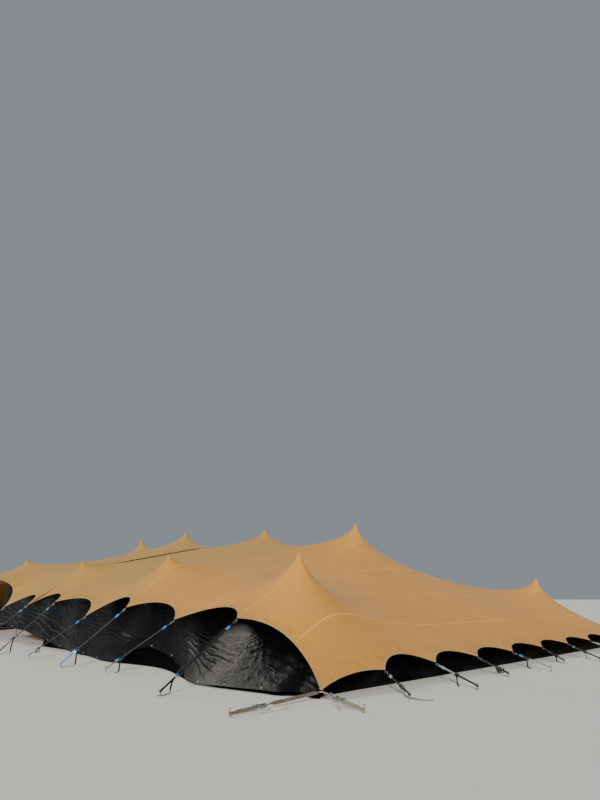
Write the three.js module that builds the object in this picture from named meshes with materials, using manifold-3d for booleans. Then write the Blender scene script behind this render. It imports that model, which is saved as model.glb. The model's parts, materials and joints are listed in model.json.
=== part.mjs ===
// A stretch tent: two joined rectangular stretch-fabric canopies on fourteen poles, tensioned by ratchet
// straps and stakes along every side, with black wall panels hung inside the hem.
//
// Millimetres, +Z up. The origin is on the ground at the middle of the footprint.
// Along the short side of the tent runs +X, along the long side +Y. In the fabric's own
// coordinates (u, v), u runs from 0 to WIDTH along X and v from 0 to LENGTH along Y, from the near corner.

import * as THREE from 'three';
import { mergeVertices } from 'three/addons/utils/BufferGeometryUtils.js';
import Module from 'manifold-3d';

const wasm = await Module();
wasm.setup();

// Footprint: each canopy is 15 m by 12 m, and two of them are joined along their 15 m sides.
const WIDTH = 15000;
const CANOPY_LENGTH = 12000;
const LENGTH = 2 * CANOPY_LENGTH;
const CENTRE = [WIDTH / 2, LENGTH / 2];

// Fabric solid: a plain thickness that can be handled, not the real 0.8 mm.
const FABRIC = 12;
const GAP = 0.3;
const JOINT_GAP = 2;

// Tie points: every 2 m along the long sides and every 1.5 m along the short ones.
const TIE_STEP_LONG = 2000;
const TIE_STEP_SHORT = 1500;
const LEFT_TIE_HEIGHTS = [1060, 980, 1180, 960, 1270, 1170, 1090, 2000, 2000, 1100, 1050];
const BACK_TIE_HEIGHT = 300;
const SIDE_TIE_HEIGHT = 290;
const CORNER_HEIGHT = 144;

// Poles: where each one meets the fabric, and the height of its tip.
const NEAR_ROW = [
  { u: 1500, v: 2000, tip: 2240 },
  { u: 1500, v: 6870, tip: 2410 },
  { u: 1500, v: 12000, tip: 2460 },
  { u: 1500, v: 17050, tip: 2710 },
  { u: 1500, v: 22000, tip: 2300 },
];
const CENTRE_ROW = [
  { u: 7500, v: 5540, tip: 3590 },
  { u: 7500, v: 10000, tip: 3760 },
  { u: 7000, v: 14650, tip: 3940 },
  { u: 7000, v: 18360, tip: 3880 },
];
const BACK_ROW = [
  { u: 13175, v: 2410, tip: 1965 },
  { u: 13175, v: 5830, tip: 2014 },
  { u: 13175, v: 12000, tip: 2100 },
  { u: 13175, v: 17050, tip: 2100 },
  { u: 13175, v: 22000, tip: 2000 },
];
// How far each row's raised tension reaches into the fabric.
const NEAR_REACH = 3000;
const CENTRE_REACH = 4000;
const BACK_REACH = 2500;
const CAP_RADIUS = 40;
const CAP_CURVE = 60;

// Tension: the fabric's edges carry this many times the tension of a metre-wide strip of fabric,
// and the arcs next to the corners on the short sides are pulled tighter still.
const EDGE_TENSION = 6000;
const END_ARC_FACTOR = 3;
const FINE_STEP = 250;
const SWEEPS = 1500;
const OVER_RELAXATION = 1.93;
const START_HEIGHT = 1200;
// Tension stops rising this near to a pole's axis, and extra grid lines lie this far from it.
const TENSION_CORE = 30;
const CAP_FRINGE = 350;
const CAP_MIDDLE = 150;
const CLOSEST_LINES = 40;

// Hem webbing around the open edges.
const HEM_WIDTH = 12;
const HEM_HEIGHT = 30;
const HEM_END = 40;

// Walls hang from this line of the fabric.
const WALL_LINE = 450;
const INNER_LINE = 1150;
const WALL_THICKNESS = 15;
const WALL_ROWS = 2;
const WALL_BILLOW = 90;

// Poles.
const POLE_RADIUS = 32;
const INNER_POLE_RADIUS = 25;
const BASE_SIZE = 200;
const BASE_THICKNESS = 10;
const DOME_RADIUS = 40;
const DOME_HEIGHT = 26;
const POLE_SIDES = 8;

// Straps.
const STRAP_WIDTH = 35;
const STRAP_THICKNESS = 4;
const CORNER_STRAP_WIDTH = 50;
const HOOK_THICKNESS = 10;
const HOOK_LENGTH = 110;
const CHEEK = 4;
const STAKE_RADIUS = 13;
const STAKE_ABOVE_GROUND = 95;
const GRIP_HEIGHT = 72;
const CORNER_GRIP_HEIGHT = 40;

const colours = {
  fabric: 0xc89b5f,
  hem: 0xb08a55,
  wall: 0x101214,
  pole: 0xb9bcc0,
  strap: 0x3b3e41,
  cornerStrap: 0x6f7460,
  handle: 0x9aa0a6,
};

const finish = (colour, roughness, metalness = 0) =>
  new THREE.MeshStandardMaterial({ color: colours[colour], roughness, metalness });

const materials = {
  fabric: finish('fabric', 0.75),
  hem: finish('hem', 0.8),
  wall: finish('wall', 0.45),
  pole: finish('pole', 0.4, 0.9),
  strap: finish('strap', 0.7),
  cornerStrap: finish('cornerStrap', 0.7),
  handle: finish('handle', 0.35, 1),
};

const tent = new THREE.Group();
tent.name = 'stretch_tent';
tent.position.set(-CENTRE[0], -CENTRE[1], 0);

// Adds one named piece to the tent.
function addPiece(name, geometry, material) {
  const mesh = new THREE.Mesh(geometry, material);
  mesh.name = name;
  tent.add(mesh);
  return mesh;
}

// Points, mixtures of two points, and counting.
const vec = (x, y, z) => new THREE.Vector3(x, y, z);
const mix = (a, b, t) => a.clone().lerp(b, t);
const range = (count) => Array.from({ length: count }, (_, index) => index);

// A closed mesh as a solid that can be joined or cut, and back again.
function toSolid(geometry) {
  const bare = geometry.clone();
  bare.deleteAttribute('normal');
  bare.deleteAttribute('uv');
  const merged = mergeVertices(bare, 1e-3);
  const mesh = new wasm.Mesh({
    numProp: 3,
    vertProperties: new Float32Array(merged.attributes.position.array),
    triVerts: new Uint32Array(merged.index.array),
  });
  return new wasm.Manifold(mesh);
}

function toGeometry(solid) {
  const mesh = solid.getMesh();
  const geometry = new THREE.BufferGeometry();
  geometry.setAttribute('position', new THREE.BufferAttribute(mesh.vertProperties, 3));
  geometry.setIndex(new THREE.BufferAttribute(mesh.triVerts, 1));
  geometry.computeVertexNormals();
  return geometry;
}

const joinAll = (solids) => solids.reduce((sum, solid) => sum.add(solid));

// Geometry from a list of points and triangles.
function pointMesh(points, triangles) {
  const geometry = new THREE.BufferGeometry();
  const flat = new Float32Array(points.flatMap((p) => [p.x, p.y, p.z]));
  geometry.setAttribute('position', new THREE.BufferAttribute(flat, 3));
  geometry.setIndex(triangles.flat());
  geometry.computeVertexNormals();
  return geometry;
}

// The fabric net: form finding by force densities

// Grid lines across a stretch: an even step, the lines that must be there, and those around each pole's cap.
function gridLines(extent, step, needed, poles) {
  const lines = new Set(needed);
  for (let x = 0; x <= extent; x += step) lines.add(x);
  for (const pole of poles) {
    for (const offset of [0, CAP_RADIUS, CAP_MIDDLE, CAP_FRINGE]) {
      lines.add(pole - offset);
      lines.add(pole + offset);
    }
  }
  const sorted = [...lines].sort((a, b) => a - b);
  const kept = new Set([...needed, ...poles.flatMap((p) => [p - CAP_RADIUS, p, p + CAP_RADIUS])]);
  return sorted.filter((x, index) => kept.has(x) || index === 0 || x - sorted[index - 1] > CLOSEST_LINES);
}

const poles = [
  ...NEAR_ROW.map((pole) => ({ ...pole, reach: NEAR_REACH })),
  ...CENTRE_ROW.map((pole) => ({ ...pole, reach: CENTRE_REACH })),
  ...BACK_ROW.map((pole) => ({ ...pole, reach: BACK_REACH })),
];

function tiePoints() {
  const ties = [];
  LEFT_TIE_HEIGHTS.forEach((height, index) => {
    const v = TIE_STEP_LONG * (index + 1);
    ties.push({ u: 0, v, height });
    ties.push({ u: WIDTH, v, height: BACK_TIE_HEIGHT });
  });
  for (let u = TIE_STEP_SHORT; u < WIDTH; u += TIE_STEP_SHORT) {
    ties.push({ u, v: 0, height: SIDE_TIE_HEIGHT });
    ties.push({ u, v: LENGTH, height: SIDE_TIE_HEIGHT });
  }
  for (const u of [0, WIDTH]) {
    for (const v of [0, LENGTH]) ties.push({ u, v, height: CORNER_HEIGHT });
  }
  return ties;
}

const ties = tiePoints();
const unique = (values) => [...new Set(values)].sort((a, b) => a - b);
const innerLines = (extent) => [WALL_LINE, INNER_LINE, extent - INNER_LINE, extent - WALL_LINE];
const uLines = gridLines(WIDTH, FINE_STEP, unique([...ties.map((tie) => tie.u), ...innerLines(WIDTH)]),
  unique(poles.map((pole) => pole.u)));
const vLines = gridLines(LENGTH, FINE_STEP, unique([...ties.map((tie) => tie.v), ...innerLines(LENGTH)]),
  unique(poles.map((pole) => pole.v)));

// Tension of the fabric at a place, in metre-wide strips: raised around every pole.
function tension(u, v) {
  const distance = (pole) => Math.max(Math.hypot(u - pole.u, v - pole.v), TENSION_CORE);
  return poles.reduce((sum, pole) => sum + pole.reach / distance(pole), 1);
}

// Width of fabric that a grid line carries.
function carried(lines, index) {
  const before = index > 0 ? lines[index] - lines[index - 1] : 0;
  const after = index < lines.length - 1 ? lines[index + 1] - lines[index] : 0;
  return (before + after) / 2;
}

// Solves the net: at every free node the link forces balance, with each force in proportion to its length.
function solveNet() {
  const nu = uLines.length;
  const nv = vLines.length;
  const at = (i, j) => i * nv + j;
  const nodes = range(nu * nv).map(() => vec(0, 0, 0));
  const fixed = new Uint8Array(nu * nv);
  for (const i of range(nu)) {
    for (const j of range(nv)) nodes[at(i, j)].set(uLines[i], vLines[j], START_HEIGHT);
  }
  for (const tie of ties) {
    const node = at(uLines.indexOf(tie.u), vLines.indexOf(tie.v));
    nodes[node].z = tie.height;
    fixed[node] = 1;
  }
  for (const pole of poles) {
    for (const i of range(nu)) {
      for (const j of range(nv)) {
        const du = uLines[i] - pole.u;
        const dv = vLines[j] - pole.v;
        if (Math.abs(du) > CAP_RADIUS || Math.abs(dv) > CAP_RADIUS) continue;
        nodes[at(i, j)].z = pole.tip - (du * du + dv * dv) / (2 * CAP_CURVE);
        fixed[at(i, j)] = 1;
      }
    }
  }
  const along = new Float64Array(nu * nv);
  const across = new Float64Array(nu * nv);
  for (const i of range(nu)) {
    for (const j of range(nv)) {
      if (i < nu - 1) {
        const length = uLines[i + 1] - uLines[i];
        const place = (uLines[i] + uLines[i + 1]) / 2;
        const endArc = Math.min(place, WIDTH - place) < TIE_STEP_SHORT;
        const edge = j === 0 || j === nv - 1 ? EDGE_TENSION * (endArc ? END_ARC_FACTOR : 1) : 0;
        const strip = carried(vLines, j) * tension(place, vLines[j]);
        along[at(i, j)] = (strip + edge) / length;
      }
      if (j < nv - 1) {
        const length = vLines[j + 1] - vLines[j];
        const edge = i === 0 || i === nu - 1 ? EDGE_TENSION : 0;
        const strip = carried(uLines, i) * tension(uLines[i], (vLines[j] + vLines[j + 1]) / 2);
        across[at(i, j)] = (strip + edge) / length;
      }
    }
  }
  const sum = vec(0, 0, 0);
  for (let sweep = 0; sweep < SWEEPS; sweep += 1) {
    for (let i = 0; i < nu; i += 1) {
      for (let j = 0; j < nv; j += 1) {
        const here = at(i, j);
        if (fixed[here]) continue;
        let total = 0;
        sum.set(0, 0, 0);
        const pull = (node, density) => {
          sum.addScaledVector(nodes[node], density);
          total += density;
        };
        if (i > 0) pull(at(i - 1, j), along[at(i - 1, j)]);
        if (i < nu - 1) pull(at(i + 1, j), along[here]);
        if (j > 0) pull(at(i, j - 1), across[at(i, j - 1)]);
        if (j < nv - 1) pull(at(i, j + 1), across[here]);
        nodes[here].lerp(sum.divideScalar(total), OVER_RELAXATION);
      }
    }
  }
  return (i, j) => nodes[at(i, j)];
}

const netNode = solveNet();
const netPoint = (u, v) => netNode(uLines.indexOf(u), vLines.indexOf(v)).clone();

const SOLID_STEP = 1300;
const RIM_STEP = 480;
const POLE_SPACE = 600;

// Lines kept for the solids: the ends, the lines around each pole's cap, and others at least "every" apart.
function solidLines(lines, low, high, every, poleLines) {
  const wanted = new Set([low, high]);
  poleLines.forEach((place, index) => {
    const offsets = [-CAP_RADIUS, 0, CAP_RADIUS];
    if (place - (poleLines[index - 1] ?? 0) > POLE_SPACE) offsets.push(-CAP_FRINGE);
    if ((poleLines[index + 1] ?? Infinity) - place > POLE_SPACE) offsets.push(CAP_FRINGE);
    offsets.forEach((offset) => wanted.add(place + offset));
  });
  const inside = lines.filter((line) => line >= low && line <= high);
  const fixed = inside.filter((line) => wanted.has(line));
  const kept = [];
  for (const line of inside) {
    const next = fixed.find((place) => place > line);
    const last = kept[kept.length - 1];
    const roomy = last !== undefined && line - last >= every && next - line >= every * 0.6;
    if (wanted.has(line) || roomy) kept.push(line);
  }
  return kept;
}

const poleU = unique(poles.map((pole) => pole.u));
const solidU = solidLines(uLines, INNER_LINE, WIDTH - INNER_LINE, SOLID_STEP, poleU);

function solidV(low, high) {
  const poleV = unique(poles.map((pole) => pole.v)).filter((v) => v >= low && v <= high);
  return solidLines(vLines, low, high, SOLID_STEP, poleV);
}

// Lines kept along the scalloped rim: every tie point, and others far enough apart.
function rimLines(lines, low, high, tieLines) {
  const kept = [];
  for (const line of lines.filter((place) => place >= low && place <= high)) {
    const next = tieLines.find((place) => place > line) ?? high;
    const roomy = kept.length > 0 && line - kept[kept.length - 1] >= RIM_STEP && next - line >= RIM_STEP * 0.7;
    if (tieLines.includes(line) || line === low || line === high || roomy) kept.push(line);
  }
  return kept;
}

const rimU = rimLines(uLines, 0, WIDTH, unique(ties.filter((tie) => tie.v === 0).map((tie) => tie.u)));
const rimV = rimLines(vLines, 0, LENGTH, unique(ties.filter((tie) => tie.u === 0).map((tie) => tie.v)));

// Lines kept where the walls hang: those of the rim, between the two wall lines that cross them.
function wallLines(lines, extent) {
  const inset = WALL_LINE + CAP_MIDDLE;
  const between = lines.filter((line) => line > inset && line < extent - inset);
  return [WALL_LINE, ...between, extent - WALL_LINE];
}

const wallU = wallLines(rimU, WIDTH);
const wallV = wallLines(rimV, LENGTH);

// Triangles between two chains of points that run the same way: "outer" on the left hand, "inner" on the right.
function stitch(outer, inner) {
  const triangles = [];
  let a = 0;
  let b = 0;
  while (a < outer.length - 1 || b < inner.length - 1) {
    const nextOuter = a < outer.length - 1 ? outer[a + 1].place : Infinity;
    const nextInner = b < inner.length - 1 ? inner[b + 1].place : Infinity;
    if (nextOuter <= nextInner) {
      triangles.push([outer[a].index, inner[b].index, outer[a + 1].index]);
      a += 1;
    } else {
      triangles.push([outer[a].index, inner[b].index, inner[b + 1].index]);
      b += 1;
    }
  }
  return triangles;
}

// One canopy: the upper surface of the net between two v lines, thickened downwards.
// "open" says which of its two short edges is a free hem; the other one is the joint.
function canopySolid(vLow, vHigh, open) {
  const within = (lines, inset) => lines.filter((v) => (
    v >= vLow + (open === 'low' ? inset : 0) && v <= vHigh - (open === 'high' ? inset : 0)
  ));
  const innerV = solidV(...(open === 'low' ? [vLow + INNER_LINE, vHigh] : [vLow, vHigh - INNER_LINE]));
  const points = [];
  const indexOf = new Map();
  const point = (u, v, chain) => {
    const key = `${u} ${v}`;
    if (!indexOf.has(key)) {
      indexOf.set(key, points.length);
      const place = netPoint(u, v);
      if (v === CANOPY_LENGTH) {
        const beside = open === 'low' ? chain[chain.length - 2] : chain[1];
        const inwards = netPoint(u, beside).sub(place).normalize();
        place.addScaledVector(inwards, JOINT_GAP / 2);
      }
      points.push(place);
    }
    return indexOf.get(key);
  };
  const top = [];
  for (const i of range(solidU.length - 1)) {
    for (const j of range(innerV.length - 1)) {
      const a = point(solidU[i], innerV[j], innerV);
      const b = point(solidU[i + 1], innerV[j], innerV);
      const c = point(solidU[i + 1], innerV[j + 1], innerV);
      const d = point(solidU[i], innerV[j + 1], innerV);
      top.push([a, b, c], [a, c, d]);
    }
  }
  // Three rings, from the scalloped rim by way of the wall line to the grid inside.
  const onU = (lines, v) => lines.map((u) => ({ place: u, index: point(u, v, innerV) }));
  const onV = (lines, u) => lines.map((v) => ({ place: v, index: point(u, v, lines) }));
  const flip = (triangles) => triangles.map(([a, b, c]) => [a, c, b]);
  const rings = [
    { inset: 0, u: rimU, v: within(rimV, 0) },
    { inset: WALL_LINE, u: wallU, v: within(wallV, WALL_LINE) },
    { inset: INNER_LINE, u: solidU, v: innerV },
  ];
  for (const k of range(2)) {
    const [ring, next] = [rings[k], rings[k + 1]];
    top.push(...stitch(onV(ring.v, ring.inset), onV(next.v, next.inset)));
    top.push(...flip(stitch(onV(ring.v, WIDTH - ring.inset), onV(next.v, WIDTH - next.inset))));
    if (open === 'low') top.push(...flip(stitch(onU(ring.u, vLow + ring.inset), onU(next.u, vLow + next.inset))));
    if (open === 'high') top.push(...stitch(onU(ring.u, vHigh - ring.inset), onU(next.u, vHigh - next.inset)));
  }
  // The open edge of the sheet, found as the sides that only one triangle has.
  const sides = new Map();
  for (const [a, b, c] of top) {
    for (const [from, to] of [[a, b], [b, c], [c, a]]) {
      if (sides.has(`${to} ${from}`)) sides.delete(`${to} ${from}`);
      else sides.set(`${from} ${to}`, [from, to]);
    }
  }
  const count = points.length;
  const lower = points.map((p) => vec(p.x, p.y, p.z - FABRIC));
  const bottom = top.map(([a, b, c]) => [a + count, c + count, b + count]);
  const rim = [...sides.values()].flatMap(([a, b]) => [[a, a + count, b], [b, a + count, b + count]]);
  return pointMesh([...points, ...lower], [...top, ...bottom, ...rim]);
}

addPiece('canopy_near', canopySolid(0, CANOPY_LENGTH, 'low'), materials.fabric);
addPiece('canopy_far', canopySolid(CANOPY_LENGTH, LENGTH, 'high'), materials.fabric);

// Hem webbing: a band along an open edge, a fraction of a millimetre outside the fabric

// Points offset sideways from a chain, with mitred corners, in plan. "left" is positive.
function offsetChain(chain, distance) {
  return chain.map((p, index) => {
    const before = chain[Math.max(index - 1, 0)];
    const after = chain[Math.min(index + 1, chain.length - 1)];
    const first = vec(p.x - before.x, p.y - before.y, 0).normalize();
    const second = vec(after.x - p.x, after.y - p.y, 0).normalize();
    if (index === 0) first.copy(second);
    if (index === chain.length - 1) second.copy(first);
    const n1 = vec(-first.y, first.x, 0);
    const n2 = vec(-second.y, second.x, 0);
    const mitre = n1.clone().add(n2).normalize();
    return p.clone().addScaledVector(mitre, distance / Math.max(mitre.dot(n1), 0.35));
  });
}

// The closed band swept along a chain of points, "outside" to the left of it.
function hemBand(chain) {
  const inner = offsetChain(chain, GAP);
  const outer = offsetChain(chain, HEM_WIDTH);
  const points = [];
  for (const index of range(chain.length)) {
    points.push(inner[index].clone());
    points.push(outer[index].clone());
    points.push(vec(outer[index].x, outer[index].y, outer[index].z - HEM_HEIGHT));
    points.push(vec(inner[index].x, inner[index].y, inner[index].z - HEM_HEIGHT));
  }
  const triangles = [];
  for (const index of range(chain.length - 1)) {
    for (const k of range(4)) {
      const a = 4 * index + k;
      const b = 4 * index + ((k + 1) % 4);
      triangles.push([a, a + 4, b], [b, a + 4, b + 4]);
    }
  }
  const last = 4 * (chain.length - 1);
  triangles.push([0, 1, 2], [0, 2, 3], [last, last + 2, last + 1], [last, last + 3, last + 2]);
  return pointMesh(points, triangles);
}

// The boundary between two corners, cut back a little at each end.
function edgeChain(points) {
  const start = points[0];
  const first = start.clone().addScaledVector(points[1].clone().sub(start).normalize(), HEM_END);
  const end = points[points.length - 1];
  const previous = points[points.length - 2];
  const last = end.clone().addScaledVector(previous.clone().sub(end).normalize(), HEM_END);
  return [first, ...points.slice(1, -1), last];
}

const leftEdge = edgeChain(rimV.map((v) => netPoint(0, v)));
const rightEdge = edgeChain([...rimU].reverse().map((u) => netPoint(u, 0)));
const backEdge = edgeChain([...rimV].reverse().map((v) => netPoint(WIDTH, v)));
const endEdge = edgeChain(rimU.map((u) => netPoint(u, LENGTH)));

// Straps: carabiner, webbing, ratchet and stake, along a line from the hem to the ground

// Boxes and cylinders in a strap's own axes: x along it, y across it, z up from its face.
function strapBox(x0, x1, width, z0, z1) {
  const geometry = new THREE.BoxGeometry(x1 - x0, width, z1 - z0);
  geometry.translate((x0 + x1) / 2, 0, (z0 + z1) / 2);
  return toSolid(geometry);
}

function crossRod(x, z, radius, length, sides) {
  const geometry = new THREE.CylinderGeometry(radius, radius, length, sides);
  geometry.translate(x, 0, z);
  return toSolid(geometry);
}

// A snap hook: a flat ring in the plane of the webbing, narrow at the end that holds the fabric.
function snapHook(length, width) {
  const ring = (inset, first) => [
    [first, 0], [width * 0.3 + inset * 0.3, -width * 0.3 + inset * 0.6], [length - inset, -width / 2 + inset],
    [length - inset, width / 2 - inset], [width * 0.3 + inset * 0.3, width * 0.3 - inset * 0.6],
  ].map(([x, y]) => new THREE.Vector2(x, y));
  const outline = new THREE.Shape(ring(0, 0));
  outline.holes.push(new THREE.Path(ring(10, 14)));
  const geometry = new THREE.ExtrudeGeometry(outline, { depth: HOOK_THICKNESS, bevelEnabled: false });
  geometry.translate(0, 0, -HOOK_THICKNESS / 2);
  return toSolid(geometry);
}

// A ratchet's frame: two cheeks on a drum, with the webbing between them.
function ratchetFrame(x0, width, scale) {
  const cheek = (side) => {
    const geometry = new THREE.BoxGeometry(110 * scale, CHEEK, 30 * scale);
    geometry.translate(x0 + 55 * scale, side * (width / 2 + 5), 0);
    return toSolid(geometry);
  };
  const drum = crossRod(x0 + 18 * scale, 0, 12 * scale, width + 12, 6);
  return [cheek(1), cheek(-1), drum];
}

// Turns a solid's own axes so that x runs from one point to another and z stays as upright as it can.
function alongLine(solid, from, to) {
  const x = to.clone().sub(from).normalize();
  const y = vec(0, 0, 1).cross(x).normalize();
  const z = x.clone().cross(y);
  const frame = new THREE.Matrix4().makeBasis(x, y, z).setPosition(from);
  return solid.transform(frame.toArray());
}

// A stake leans away from the pull by this much for each unit of height.
const STAKE_LEAN = 0.25;

// Where a strap holds its stake, at a height above the ground.
function onStake(foot, from, height) {
  const out = foot.clone().sub(from).setZ(0).normalize();
  return foot.clone().addScaledVector(out, STAKE_LEAN * height).setZ(height);
}

// A stake: a rod with a head, cut off level with the ground.
function stake(foot, from, hasHead = true) {
  const up = foot.clone().sub(from).setZ(0).normalize().multiplyScalar(STAKE_LEAN).setZ(1).normalize();
  const rod = new THREE.CylinderGeometry(STAKE_RADIUS, STAKE_RADIUS, STAKE_ABOVE_GROUND + 60, 6);
  const head = new THREE.CylinderGeometry(STAKE_RADIUS * 1.7, STAKE_RADIUS * 1.7, 12, 6);
  head.translate(0, (STAKE_ABOVE_GROUND + 60) / 2 + 4, 0);
  const turn = new THREE.Quaternion().setFromUnitVectors(vec(0, 1, 0), up);
  const middle = foot.clone().addScaledVector(up, (STAKE_ABOVE_GROUND - 60) / 2);
  const pieces = (hasHead ? [rod, head] : [rod]).map((geometry) => {
    geometry.applyQuaternion(turn);
    geometry.translate(middle.x, middle.y, middle.z);
    return toSolid(geometry);
  });
  return joinAll(pieces).trimByPlane([0, 0, 1], 0);
}

// A whole strap from a tie point on the hem to its stake.
function tieStrap(tie, foot, ratchetAt) {
  const grip = onStake(foot, tie, GRIP_HEIGHT);
  const direction = grip.clone().sub(tie).normalize();
  const start = tie.clone().addScaledVector(direction, GAP);
  const length = grip.distanceTo(start);
  const pieces = [
    snapHook(HOOK_LENGTH, STRAP_WIDTH + 24),
    strapBox(HOOK_LENGTH - 8, length, STRAP_WIDTH, -STRAP_THICKNESS / 2, STRAP_THICKNESS / 2),
    ...ratchetFrame(length * ratchetAt, STRAP_WIDTH, 1),
  ];
  return alongLine(joinAll(pieces), start, grip).add(stake(foot, tie));
}

// The same strap in plainer form, for the sides where the hem carries it.
function plainStrap(tie, foot, ratchetAt, width = STRAP_WIDTH, scale = 1) {
  const grip = onStake(foot, tie, GRIP_HEIGHT);
  const length = grip.distanceTo(tie);
  const middle = length * ratchetAt;
  const pieces = [
    strapBox(0, length, width, -STRAP_THICKNESS / 2, STRAP_THICKNESS / 2),
    strapBox(middle, middle + 110 * scale, width + 14, -15 * scale, 15 * scale),
  ];
  return alongLine(joinAll(pieces), tie, grip).add(stake(foot, tie, false));
}

// The hem's outer lower corner at a tie point, where the snap hook starts.
function hookPoint(edge, at) {
  const outer = offsetChain(edge, HEM_WIDTH);
  let best = 0;
  edge.forEach((p, index) => {
    if (p.distanceTo(at) < edge[best].distanceTo(at)) best = index;
  });
  return outer[best].clone().setZ(outer[best].z - HEM_HEIGHT);
}

// Stakes: how far out from the tie and how far along the side, in millimetres, and where along
// the strap its ratchet sits.
const LEFT_STAKES = [
  [1440, -45, 0.74], [773, 1100, 0.75], [1030, 640, 0.73], [860, 950, 0.82], [1100, 400, 0.72],
  [1200, 300, 0.7], [1100, 200, 0.72], [1600, -250, 0.7], [1600, 250, 0.72], [1100, 0, 0.72],
  [1030, -300, 0.7],
];
const RIGHT_STAKES = [
  [809, -484, 0.62], [1090, -535, 0.46], [724, -248, 0.6], [934, -345, 0.3], [562, -258, 0.5],
  [980, -763, 0.5], [950, -400, 0.45], [950, -300, 0.5], [950, -200, 0.5],
];
const END_STAKE_OUT = 950;
const BACK_STAKE_OUT = 1100;

addPiece('hem_left', hemBand(leftEdge), materials.hem);
addPiece('hem_right', hemBand(rightEdge), materials.hem);

LEFT_STAKES.forEach(([out, drift, ratchetAt], index) => {
  const tie = netPoint(0, TIE_STEP_LONG * (index + 1));
  const start = hookPoint(leftEdge, tie);
  const foot = vec(tie.x - out, tie.y + drift, 0);
  const solid = tieStrap(start, foot, ratchetAt);
  addPiece(`strap_left_${index + 1}`, toGeometry(solid), materials.strap);
});

RIGHT_STAKES.forEach(([out, drift, ratchetAt], index) => {
  const tie = netPoint(TIE_STEP_SHORT * (index + 1), 0);
  const start = hookPoint(rightEdge, tie);
  const foot = vec(tie.x + drift, tie.y - out, 0);
  const solid = tieStrap(start, foot, ratchetAt);
  addPiece(`strap_right_${index + 1}`, toGeometry(solid), materials.strap);
});

// The back and end hems carry their own straps.
const backStraps = range(LEFT_TIE_HEIGHTS.length).map((index) => {
  const tie = netPoint(WIDTH, TIE_STEP_LONG * (index + 1));
  const start = hookPoint(backEdge, tie);
  const foot = vec(tie.x + BACK_STAKE_OUT, tie.y, 0);
  return plainStrap(start.add(vec(-2, 0, 2)), foot, 0.6);
});
addPiece('hem_back', toGeometry(joinAll([toSolid(hemBand(backEdge)), ...backStraps])), materials.hem);

const endStraps = range(WIDTH / TIE_STEP_SHORT - 1).map((k) => {
  const tie = netPoint(TIE_STEP_SHORT * (k + 1), LENGTH);
  const start = hookPoint(endEdge, tie);
  const foot = vec(tie.x, tie.y + END_STAKE_OUT, 0);
  return plainStrap(start.add(vec(0, -2, 2)), foot, 0.45);
});
addPiece('hem_end', toGeometry(joinAll([toSolid(hemBand(endEdge)), ...endStraps])), materials.hem);

// Corner straps: a ring under each corner, and two heavy straps from it

const CORNER_RING_RADIUS = 34;
const CORNER_RING_ROD = 8;
const CORNER_RING_SIDES = 12;
const CORNER_RING_CREST = CORNER_RING_ROD * Math.sin(Math.PI / 3);

// The corner's ring, lying just under the tip of the fabric.
function cornerRing(corner) {
  const out = vec(Math.sign(corner.x - CENTRE[0]), Math.sign(corner.y - CENTRE[1]), 0).normalize();
  const ring = new THREE.TorusGeometry(CORNER_RING_RADIUS, CORNER_RING_ROD, 6, CORNER_RING_SIDES);
  const centre = corner.clone().addScaledVector(out, CORNER_RING_RADIUS);
  centre.z = corner.z - FABRIC - CORNER_RING_CREST - GAP;
  ring.translate(centre.x, centre.y, centre.z);
  return { solid: toSolid(ring), centre, out };
}

// The place just outside a ring's many-sided rim, in the direction of a foot.
function besideRing(centre, foot) {
  const towards = onStake(foot, centre, CORNER_GRIP_HEIGHT).sub(centre).normalize();
  const corners = range(CORNER_RING_SIDES).map((k) => {
    const angle = (k / CORNER_RING_SIDES) * Math.PI * 2;
    return Math.cos(angle) * towards.x + Math.sin(angle) * towards.y;
  });
  const reach = (CORNER_RING_RADIUS + CORNER_RING_ROD) * Math.max(...corners);
  return centre.clone().addScaledVector(towards, reach + GAP);
}

// A heavy strap from the ring to its stake, with a ratchet frame but no handle.
function cornerStrap(from, foot, ratchetAt) {
  const grip = onStake(foot, from, CORNER_GRIP_HEIGHT);
  const length = grip.distanceTo(from);
  const pieces = [
    strapBox(0, length, CORNER_STRAP_WIDTH, -2.5, 2.5),
    ...ratchetFrame(length * ratchetAt, CORNER_STRAP_WIDTH, 1.3),
  ];
  const axle = crossRod(length * ratchetAt + 18 * 1.3, 0, 6, CORNER_STRAP_WIDTH + 56, 8);
  const strap = alongLine(joinAll([...pieces, axle]), from, grip);
  return strap.add(stake(foot, from));
}

// The handle of a ratchet: two arms outside the frame's cheeks, a grip bar and a web between them.
const HANDLE_LENGTH = 190;
const HANDLE_RISE = 24;

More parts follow.
